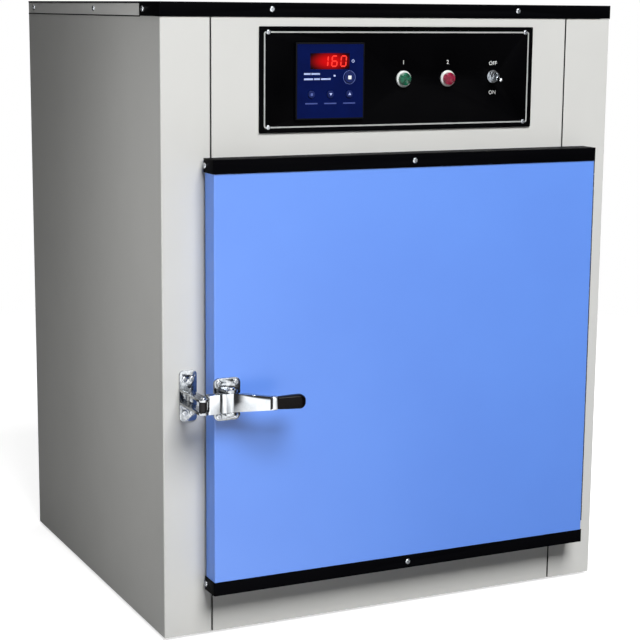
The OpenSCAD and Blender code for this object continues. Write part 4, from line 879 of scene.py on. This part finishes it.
@dataclass
class ControlPanel:
    """The black plate with its controller, lamps and switch, and the marks printed on them.

    Attributes:
        edge_mm: the radius on the edges of the plate and the controller's bezel.
        stripe_in: the printed frame's distance from the plate's edge.
        stripe_w, stripe_corner: its line width and its corner radius.
        ink: the thickness of a printed mark, which lies half in its face.
        letter_h, font: the height of a printed letter or number, and the font's size over it.
        dash_h: the height of a line of print on the controller's face.
        dashes: each line's height over the face's middle, and its dashes' starts and lengths.
        key_bar, key_bar_down: the size of the bar under a key, and how far it is under the key's middle.
        key_ring, degree_ring: the radius and the line width of the ringed key's ring and the degree ring.
        degree_place: the degree ring's place from the face's middle.
    """

    edge_mm: float = 0.4
    stripe_in: float = 7.0
    stripe_w: float = 1.8
    stripe_corner: float = 2.0
    ink: float = 0.12
    letter_h: float = 5.0
    font: float = 1.4
    dash_h: float = 2.2
    dashes: tuple[tuple[float, tuple[Pair, ...]], ...] = (
        (9.2, ((-36.9, 9.0), (-26.6, 11.7))),
        (2.7, ((-36.9, 12.5), (-22.9, 8.0), (-13.4, 13.5))),
        (6.8, ((4.2, 2.6),)),
    )
    key_bar: Pair = (17.0, 1.6)
    key_bar_down: float = 11.5
    key_ring: Pair = (8.3, 0.7)
    degree_ring: Pair = (1.6, 0.8)
    degree_place: Triple = (31.5, 0.0, 24.9)

    def build(self) -> None:
        """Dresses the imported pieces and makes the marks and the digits."""
        softened("control_plate", PLATE_LACQUER, self.edge_mm)
        softened("controller_case", ABS_BLACK, self.edge_mm)
        dress(ZINC, "control_plate_screws")
        dress(FACE_FILM, "controller_face")
        dress(KEY_SILICONE, "set_key", "down_key", "up_key", "ring_key")
        dress(LAMP_RING, "lamp_bezels")
        dress(CHROME, "switch_body", "switch_lever")
        dress(MILL_ALUMINIUM, "control_tray")
        dress(BLACK_ANODISED, "power_relay")
        self.lights()
        self.stripe()
        self.key_symbols_and_highlights()
        self.face_marks()
        self.labels()
        Readout().build()

    def lights(self) -> None:
        """The smoked window, lit behind the digits, and the lamps' lenses, ringed inside."""
        dress(LitWindow("smoked red acrylic, lit", "#180408", "#120306", 20, 1.0, 0.002, 0.16, 0.03,
                        specular=0.03, centre=tuple(box_of("display_window")[2])), "display_window")
        for name, colour, deep in (("green", "#087350", "#022f20"), ("red", "#b00d40", "#50051c")):
            node = f"{name}_lamp_lens"
            glow = {"Emission Color": linear(colour), "Emission Strength": 0.05}
            dress(RingedLens(f"clear polycarbonate, {name}", colour, deep, 5, 1.0, 0.30, 0.16, 0.03, coat=0.2,
                             specular=0.3, axis=tuple(box_of(node)[2]), settings=glow), node)

    def printed_line(self, name: str, node: str, middle: Vector, size: Pair, line: Pair, ink: Finish) -> None:
        """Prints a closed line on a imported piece: a flat band carried round a rounded rectangle.

        Args:
            name, ink: the line's name and its ink.
            node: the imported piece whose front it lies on.
            middle, size: the middle, width and height of its path.
            line: its width and its corner radius, in millimetres.
        """
        profile = bar(0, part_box(node)[0].y, line[0] * MM, self.ink * MM)
        piece(name, *frame_band(middle, *size, line[1] * MM, profile), ink, body_of(node))

    def printed_ring(self, name: str, middle: Vector, ring: Pair, ink: Finish) -> None:
        """Prints a ring of this radius and line width, in millimetres, on the controller's face."""
        across = 2 * ring[0] * MM
        self.printed_line(name, "controller_face", middle, (across, across), ring[::-1], ink)

    def marks(self, name: str, node: str, outlines: list[Array], ink: Finish) -> None:
        """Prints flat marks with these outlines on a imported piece."""
        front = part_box(node)[0].y - self.ink / 2 * MM
        piece(name, *plates(outlines, front, self.ink * MM), ink, body_of(node))

    def stripe(self) -> None:
        """The printed frame round the plate."""
        low, high, middle = box_of("control_plate")
        margin = 2 * self.stripe_in * MM
        self.printed_line("printed_frame", "control_plate", middle,
                          (high.x - low.x - margin, high.z - low.z - margin),
                          (self.stripe_w, self.stripe_corner), SILVER_INK)

    def key_symbols_and_highlights(self) -> None:
        """A square or an arrowhead on each key, a bar under the small ones and a ring round the other."""
        down = np.array([[-2, 1.4], [0, -2], [2, 1.4]])
        up = np.array([[-2, -1.4], [2, -1.4], [0, 2]])
        # The squares and arrowheads are print, and their inks, dim on the set key, pale on the arrows and
        # white on the ring key, follow the glint on each key: painted highlights
        keys = {"set_key": (bar(0, 0, 3.0, 3.0), THIN_INK_AND_HIGHLIGHT), "down_key": (down, PALE_INK),
                "up_key": (up, PALE_INK), "ring_key": (bar(0, 0, 4.6, 4.6), WHITE_INK)}
        middles = {node: box_of(node)[2] for node in keys}
        for node, (shape, ink) in keys.items():
            self.marks(f"{node}_mark", node, [shape * MM + [middles[node].x, middles[node].z]], ink)
        ring = middles.pop("ring_key")
        width, height = self.key_bar
        self.marks("key_bars", "controller_face",
                   [bar(spot.x, spot.z - self.key_bar_down * MM, width * MM, height * MM)
                    for spot in middles.values()], DIM_INK)
        self.printed_ring("ring_key_print", ring, self.key_ring, THIN_INK_AND_HIGHLIGHT)

    def face_marks(self) -> None:
        """Two broken lines of print, a short bar and a degree ring on the controller's face."""
        middle = box_of("controller_face")[2]
        dashes = [bar(middle.x + (start + long / 2) * MM, middle.z + up * MM, long * MM, self.dash_h * MM)
                  for up, line in self.dashes for start, long in line]
        self.marks("face_print", "controller_face", dashes, PALE_INK)
        self.printed_ring("degree_ring", middle + Vector(self.degree_place) * MM, self.degree_ring, PALE_INK)

    def labels(self) -> None:
        """The generic words and numbers by the lamps and the switch.

        Each row is a label's name, its words, the piece that it stands by, and how far over that piece.
        """
        for name, words, node, up in (("lamp_number_one", "1", "green_lamp_lens", 21),
                                      ("lamp_number_two", "2", "red_lamp_lens", 21),
                                      ("switch_off_label", "OFF", "switch_body", 17),
                                      ("switch_on_label", "ON", "switch_body", -21)):
            curve = bpy.data.curves.new(name, "FONT")
            curve.body = words
            curve.align_x = curve.align_y = "CENTER"
            curve.size = self.letter_h * MM * self.font
            curve.extrude = self.ink / 2 * MM
            curve.resolution_u = 3
            shape = show(name, curve)
            depsgraph = bpy.context.evaluated_depsgraph_get()
            mesh = bpy.data.meshes.new_from_object(shape.evaluated_get(depsgraph))
            bpy.data.objects.remove(shape)
            middle = box_of(node)[2]
            place = Vector((middle.x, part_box("control_plate")[0].y, middle.z + up * MM))
            mesh.transform(Matrix.Translation(place) @ Matrix.Rotation(math.pi / 2, 4, "X"))
            settle(name, mesh, WHITE_INK, "cabinet", smooth=False)


@dataclass
class Wool:
    """A wool jacket: a packed jacket remeshed and teased into soft uneven batts.

    Attributes:
        node, voxel_mm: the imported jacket, and the size of the remeshed squares.
        deep_mm, clear_mm: how far the surface sinks at most with its waves, and all over besides.
        waves: each wave's way and its length.
    """

    node: str
    voxel_mm: float
    deep_mm: float = 2.5
    clear_mm: float = 0.8
    waves: tuple[tuple[Triple, float], ...] = (((0.6, 0.5, 0.62), 60), ((-0.7, 0.2, 0.68), 34),
                                               ((0.3, -0.8, 0.52), 19))

    def build(self) -> None:
        """Remeshes a copy of the jacket and sinks its surface.

        The sink is a sum of sines of the place, one a wave, brought to between nothing and the
        deepest, along the inward normal, so that the wool never swells out of its space.
        """
        mesh = frame["nodes"][self.node].data.copy()
        rework(mesh, TWIN)
        copy = show("jacket", mesh)
        remesh = copy.modifiers.new("even squares", "REMESH")
        remesh.mode = "VOXEL"
        remesh.voxel_size = self.voxel_mm * MM
        mesh = bpy.data.meshes.new_from_object(copy.evaluated_get(bpy.context.evaluated_depsgraph_get()))
        bpy.data.objects.remove(copy)
        place, normal = np.empty((2, len(mesh.vertices) * 3), np.float32)
        mesh.vertices.foreach_get("co", place)
        mesh.vertex_normals.foreach_get("vector", normal)
        place, normal = place.reshape(-1, 3), normal.reshape(-1, 3)
        waves = sum(np.sin(place @ np.array(way) * math.tau / (size * MM) + size) for way, size in self.waves)
        sink = ((waves / len(self.waves) + 1) / 2 * self.deep_mm + self.clear_mm) * MM
        mesh.vertices.foreach_set("co", (place - normal * sink[:, None]).ravel())
        thing = settle(f"{self.node}_batts", mesh, GLASS_WOOL, body_of(self.node))
        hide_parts(self.node)


@dataclass
class Chamber:
    """The stainless liner with its racks, shelves, heaters, fan, probe and wool."""

    def build(self) -> None:
        """Dresses the chamber's pieces and makes its wool."""
        dress(STEEL_UPRIGHT, "inner_chamber", "left_shelf_rack", "right_shelf_rack")
        dress(STEEL_ACROSS, "floor_plate", "fan_guard", "temperature_probe")
        dress(DRAWN_WIRE, "upper_shelf", "lower_shelf")
        dress(HEATER_TUBE, "heater_elements")
        dress(MILL_ALUMINIUM, "fan_impeller")
        dress(JAPAN_BLACK, "fan_motor")
        Wool("glass_wool", 8.0).build()


@dataclass
class Door:
    """The blue door with its trims, seal, hinge and inner panel.

    Attributes:
        trim_edge_mm: the radius on the trim strips' edges.
        bulb_mm, foot_mm: half the width of the seal's bulb, and of its foot.
        lip_mm, bend_mm: the thickness of its foot, and its radius round the mouth's corners.
    """

    trim_edge_mm: float = 0.3
    bulb_mm: float = 3.4
    foot_mm: float = 6.0
    lip_mm: float = 1.2
    bend_mm: float = 16.0

    def build(self) -> None:
        """Dresses the door's pieces and makes its seal and its wool."""
        dress(BLUE_ENAMEL, "door_shell")
        softened("door_top_trim", POWDER_BLACK, self.trim_edge_mm)
        softened("door_bottom_trim", POWDER_BLACK, self.trim_edge_mm)
        dress(STEEL_ACROSS, "door_inner_panel")
        dress(ZINC, "door_screws", "fixed_hinge_leaf", "moving_hinge_leaf", "hinge_pin")
        self.seal()
        Wool("door_wool", 7.0).build()

    def seal(self) -> None:
        """The extruded seal: a flat foot with a round bulb, carried round the chamber's mouth.

        The bulb is a half circle over the foot, squashed to the depth that the seal has. The foot's
        corners are cut: each slopes in by a millimetre over the last four tenths of its thickness.
        """
        low, high, middle = box_of("door_gasket")
        foot, lip = self.foot_mm * MM, self.lip_mm * MM
        sweep = np.linspace(0, math.pi, 15)
        bulb = np.column_stack([self.bulb_mm * MM * np.cos(sweep),
                                low.y + lip + (high.y - low.y - lip) * np.sin(sweep)])
        edge = np.array([[foot, low.y], [foot, low.y + 0.6 * lip], [foot - MM, low.y + lip]])
        profile = np.concatenate([edge, bulb, edge[::-1] * [-1, 1]])
        width, height = high.x - low.x - 2 * foot, high.z - low.z - 2 * foot
        points, faces = frame_band(middle, width, height, self.bend_mm * MM, profile)
        thing = piece("door_seal", points, faces, SILICONE_RED, "door", smooth=True)
        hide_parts("door_gasket")


@dataclass
class Grip:
    """The moulded grip on the lever's tang, and a black ring behind its collar, a painted shadow of the seam
    there.

    Attributes:
        lean, length: how far the grip's axis turns outwards from X, and its length.
        root, swell: half its thickness and half its height at the collar, and at their greatest.
        closing: the length over which its end closes.
        square: the power of its section: 2 is an ellipse, and more is squarer.
        shadow_ring, shadow_ring_in: the painted shadow ring's depth, height and corner radius, and how deep
            its middle lies.
        collar: its far and its near face, along from the grip's root.
    """

    lean: float = 5.0
    length: float = 38.0
    root: Pair = (4.5, 7.8)
    swell: Pair = (6.5, 9.0)
    closing: float = 8.0
    square: float = 3.6
    shadow_ring: Triple = (7.4, 17.0, 2.6)
    shadow_ring_in: float = 0.9
    collar: Pair = (-8.8, -6.1)

    def place(self, along: Array, across: Array, up: Array) -> Array:
        """Points of the grip's own frame, in millimetres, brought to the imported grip's place.

        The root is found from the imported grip's box: its left end is the near corner of the root, and
        its back face is the far corner, each half a thickness from the root's middle.

        Args:
            along, across, up: the distances along the grip from its root, into the depth and upwards.

        Returns:
            The points, in metres.
        """
        low, high, middle = box_of("latch_grip")
        sine, cosine = math.sin(math.radians(self.lean)), math.cos(math.radians(self.lean))
        x = low.x + (self.root[0] * sine + along * cosine + across * sine) * MM
        y = high.y + (-self.root[0] * cosine - along * sine + across * cosine) * MM
        return np.stack(np.broadcast_arrays(x, y, middle.z + up * MM), axis=-1)

    def build(self) -> None:
        """Makes the grip and the black ring behind the collar, a painted shadow of the seam there.

        Along the grip the half sizes swell from the root's to the greatest with a quarter of a sine,
        and over the closing length they shrink with a quarter of an ellipse. Round the grip the section
        is a superellipse: the cosine and the sine, each to the power of two over the square.
        """
        share = 1 - (1 - np.linspace(0, 1, 44)) ** 2
        along = self.length * share
        swell = np.sin(math.pi / 2 * np.minimum(along / (self.length - self.closing), 1))
        close = np.sqrt(1 - np.clip((along - self.length + self.closing) / self.closing, 0, 1) ** 2)
        turn = np.linspace(0, math.tau, 56, endpoint=False)
        waves = np.cos(turn), np.sin(turn)
        wide, tall = (np.sign(wave) * np.abs(wave) ** (2 / self.square) for wave in waves)
        thick, high = ((low + (top - low) * swell) * close for low, top in zip(self.root, self.swell))
        points = self.place(along[:, None], thick[:, None] * wide, high[:, None] * tall)
        faces = [*grid_faces(len(along), len(turn)).tolist(), list(range(len(turn)))]
        thing = piece("latch_grip_moulded", points, faces, PHENOLIC, "latch", smooth=True)
        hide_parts("latch_grip")
        # A black ring behind the collar: a painted shadow of the seam between the lever and the collar
        path, _ = round_rectangle(*self.shadow_ring)
        n = len(path)
        rings = [self.place(np.array(x), path[:, 0] + self.shadow_ring_in, path[:, 1]) for x in self.collar]
        faces = [*grid_faces(2, n).tolist(), list(range(n)), list(range(2 * n - 1, n - 1, -1))]
        piece("collar_shadow_ring", np.concatenate(rings), faces, ACETAL, "latch")


@dataclass
class Latch:
    """The chrome lever latch and its strike, with their edges rounded by polishing.

    Attributes:
        edge_mm: the radius that polishing leaves on the castings.
    """

    edge_mm: float = 0.6

    def build(self) -> None:
        """Rounds and dresses the latch's pieces."""
        softened("latch_lever", CHROME, self.edge_mm)
        softened("latch_base", CAST_CHROME, self.edge_mm)
        softened("strike_bracket", CAST_CHROME, self.edge_mm)
        Grip().build()
        dress(CHROME, "latch_pin", "strike_pin")
        dress(ACETAL, "strike_roller")


@dataclass
class Studio:
    """The floor, the lamps, the world and the camera, in metres and degrees.

    Attributes:
        camera_place: the camera's place from the foot of the cabinet's front.
        yaw, pitch, roll: how far it looks to the right of straight in, looks up and leans.
        lens: its focal length in millimetres on a 36 mm wide picture.
        lamps: each lamp's name, its place and aim from that foot, its size and its watts. The strip
            stands close to the left side, just behind its front, so that the side darkens towards its
            rear and the body shades the door's left edge.
        ambient, room: the world's strength on the object, and in the dark parts of reflections.
        overhead, low_down: the heights at which the white overhead and the window start and are full.
        window: the way to the middle of the bright window in reflections.
        window_edge: the cosines of the way off it at which it starts and is full.
        window_light: how bright it and its shine on the floor are.
        floor_light: how bright the rest of the floor is in reflections.
        floor_half: half the floor's width.
        floor_front: the depths at which the shine on the floor starts and is full.
        floor_glow: how bright the floor is to the camera without lamps, where white is 1.
        floor_fade: the distances at which it starts to fade to white and is white.
        fan: the point behind the cabinet from which the shine fans out.
    """

    camera_place: Triple = (-1.0486, -1.9467, 0.7963)
    yaw: float = 25.78
    pitch: float = -10.41
    roll: float = 0.506
    lens: float = 95.68
    lamps: tuple[tuple[str, Triple, Triple, Pair, float], ...] = (
        ("key", (0.0, -4.3, 5.2), (0, 0, 0.4), (3.0, 3.0), 574),
        ("strip", (-0.74, 0.06, 0.42), (-0.325, -0.05, 0.3), (0.2, 0.9), 1.0),
        ("rear", (2.2, 2.4, 1.6), (0, 0, 0.4), (1.6, 1.6), 70),
    )
    ambient: float = 0.03
    room: float = 0.07
    overhead: Pair = (0.55, 0.8)
    low_down: Pair = (0.45, 0.25)
    window: Triple = (-0.26, -0.966, 0.0)
    window_edge: Pair = (0.67, 0.87)
    window_light: float = 2.5
    floor_light: float = 0.10
    floor_half: float = 60.0
    floor_front: Pair = (-0.2, -0.4)
    floor_glow: float = 0.72
    floor_fade: Pair = (0.9, 2.2)
    fan: Triple = (-1.05, 1.70, 0.0)

    def build(self) -> None:
        """Makes the stage, measured from the middle of the cabinet's front at the height of its base."""
        foot = Vector((0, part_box("front_fascia")[0].y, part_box("base_pan")[0].z))
        self.world()
        self.floor()
        for name, place, aim, size, watts in self.lamps:
            light = bpy.data.lights.new(name, "AREA")
            light.shape = "RECTANGLE"
            light.size, light.size_y = size
            light.energy = watts
            thing = show(name, light)
            thing.location = foot + Vector(place)
            thing.rotation_mode = "QUATERNION"
            thing.rotation_quaternion = (foot + Vector(aim) - thing.location).to_track_quat("-Z", "Y")
        self.camera(foot)

    def towards_window(self, tree: Tree, way: Socket | Node, dark: float) -> Node:
        """The light of the window over the compass: full in its middle, gone past 48 degrees from it.

        Args:
            tree: the node tree that it goes into.
            way: a direction, or a place on the floor.
            dark: the light away from the window.

        Returns:
            The node that gives the light's strength.
        """
        level = add(tree, "VectorMath", [way, (1.0, 1.0, 0.0)], operation="MULTIPLY")
        unit = add(tree, "VectorMath", [level], operation="NORMALIZE")
        near = add(tree, "VectorMath", [unit, self.window], operation="DOT_PRODUCT")
        return add(tree, "MapRange", [near, *self.window_edge, dark, self.window_light], **SMOOTH)

    def rays(self, tree: Tree) -> tuple[Socket, Node]:
        """Whether a ray comes from the camera, and whether it was mirrored or let through.

        Args:
            tree: the node tree that asks.

        Returns:
            The output for the first, and the node that gives the second.
        """
        ray = add(tree, "LightPath").outputs
        mirrored = [ray["Is Glossy Ray"], ray["Is Transmission Ray"]]
        return ray["Is Camera Ray"], add(tree, "Math", mirrored, operation="MAXIMUM")

    def world(self) -> None:
        """A pale world: weak light on the object, white behind it, and a studio in its reflections.

        What glossy and clear surfaces reflect is white overhead, a broad bright window in front and
        low down, and a dark room elsewhere.
        """
        world = bpy.data.worlds.new("studio")
        bpy.context.scene.world = world
        tree = bare_tree(world)
        way = add(tree, "TexCoord").outputs["Generated"]
        height = add(tree, "SeparateXYZ", [way]).outputs["Z"]
        overhead = add(tree, "MapRange", [height, *self.overhead, self.room, 1.0], **SMOOTH)
        low = add(tree, "MapRange", [height, *self.low_down], **SMOOTH)
        window = add(tree, "Math", [self.towards_window(tree, way, self.room), low], operation="MULTIPLY")
        lit = add(tree, "Math", [overhead, window], operation="MAXIMUM")
        seen, mirrored = self.rays(tree)
        strength = add(tree, "Mix", {"Factor": mirrored, 2: self.ambient, 3: lit})
        strength = add(tree, "Mix", {"Factor": seen, 2: strength, 3: 1.0})
        add(tree, "OutputWorld", [add(tree, "Background", [WHITE, strength])])

    def floor(self) -> None:
        """A white floor that runs far out and takes the object's soft shadow.

        To the camera it is lit paper: a glow a little under white and a share of diffuse light, which
        fades to plain white away from the object. In reflections it carries a painted shine below the window,
        where the window's light would fall, and is dim elsewhere, and to other rays it is grey paper.
        """
        mesh = bpy.data.meshes.new("floor")
        corners = bar(0, 0, 2 * self.floor_half, 2 * self.floor_half)
        mesh.from_pydata(np.column_stack([corners, np.zeros(4)]), [], [(0, 1, 2, 3)])
        material = bpy.data.materials.new("matt white paper")
        tree = bare_tree(material)
        place = add(tree, "TexCoord").outputs["Object"]
        away = add(tree, "VectorMath", [place], operation="LENGTH")
        far = add(tree, "MapRange", [away, *self.floor_fade], **SMOOTH)
        white = add(tree, "Emission", [WHITE, 1.0])
        glow = add(tree, "Emission", [WHITE, self.floor_glow])
        paper = add(tree, "BsdfDiffuse", [linear("#c4c4c4")])
        grey = add(tree, "BsdfDiffuse", [linear("#828282")])
        shown = add(tree, "MixShader", [far, add(tree, "AddShader", [paper, glow]), white])
        # What reflections see of the floor is emission: a painted pool of the window's light
        spread = add(tree, "VectorMath", [place, self.fan], operation="SUBTRACT")
        depth = add(tree, "SeparateXYZ", [place]).outputs["Y"]
        in_front = add(tree, "MapRange", [depth, *self.floor_front])
        window = self.towards_window(tree, spread, self.floor_light)
        shining = add(tree, "Mix", {"Factor": in_front, 2: self.floor_light, 3: window})
        shine = add(tree, "Emission", [WHITE, shining])
        seen, mirrored = self.rays(tree)
        unseen = add(tree, "MixShader", [mirrored, grey, shine])
        add(tree, "OutputMaterial", [add(tree, "MixShader", [seen, unseen, shown])])
        mesh.materials.append(material)
        floor = show("floor", mesh)

    def camera(self, foot: Vector) -> None:
        """The camera at the photograph's place, looking the photograph's way.

        Args:
            foot: the foot of the cabinet's front.
        """
        data = bpy.data.cameras.new("camera")
        data.lens = self.lens
        data.clip_start, data.clip_end = 0.05, 60
        thing = show("camera", data)
        yaw, pitch = math.radians(self.yaw), math.radians(self.pitch)
        ahead = Vector((math.sin(yaw) * math.cos(pitch), math.cos(yaw) * math.cos(pitch), math.sin(pitch)))
        roll = Matrix.Rotation(math.radians(self.roll), 3, "Z").to_quaternion()
        turn = (ahead.to_track_quat("-Z", "Y") @ roll).to_matrix().to_4x4()
        thing.matrix_world = Matrix.Translation(foot + Vector(self.camera_place)) @ turn
        bpy.context.scene.camera = thing


def main() -> None:
    """Builds the object's pieces in order, then the stage."""
    logging.basicConfig(level=logging.INFO, format="%(name)s: %(message)s")
    bpy.context.scene.view_settings.view_transform = "Standard"
    for part in (Cabinet(), ControlPanel(), Chamber(), Door(), Latch(), Studio()):
        LOG.info("building the %s", type(part).__name__.lower())
        part.build()


if __name__ == "__main__":
    main()
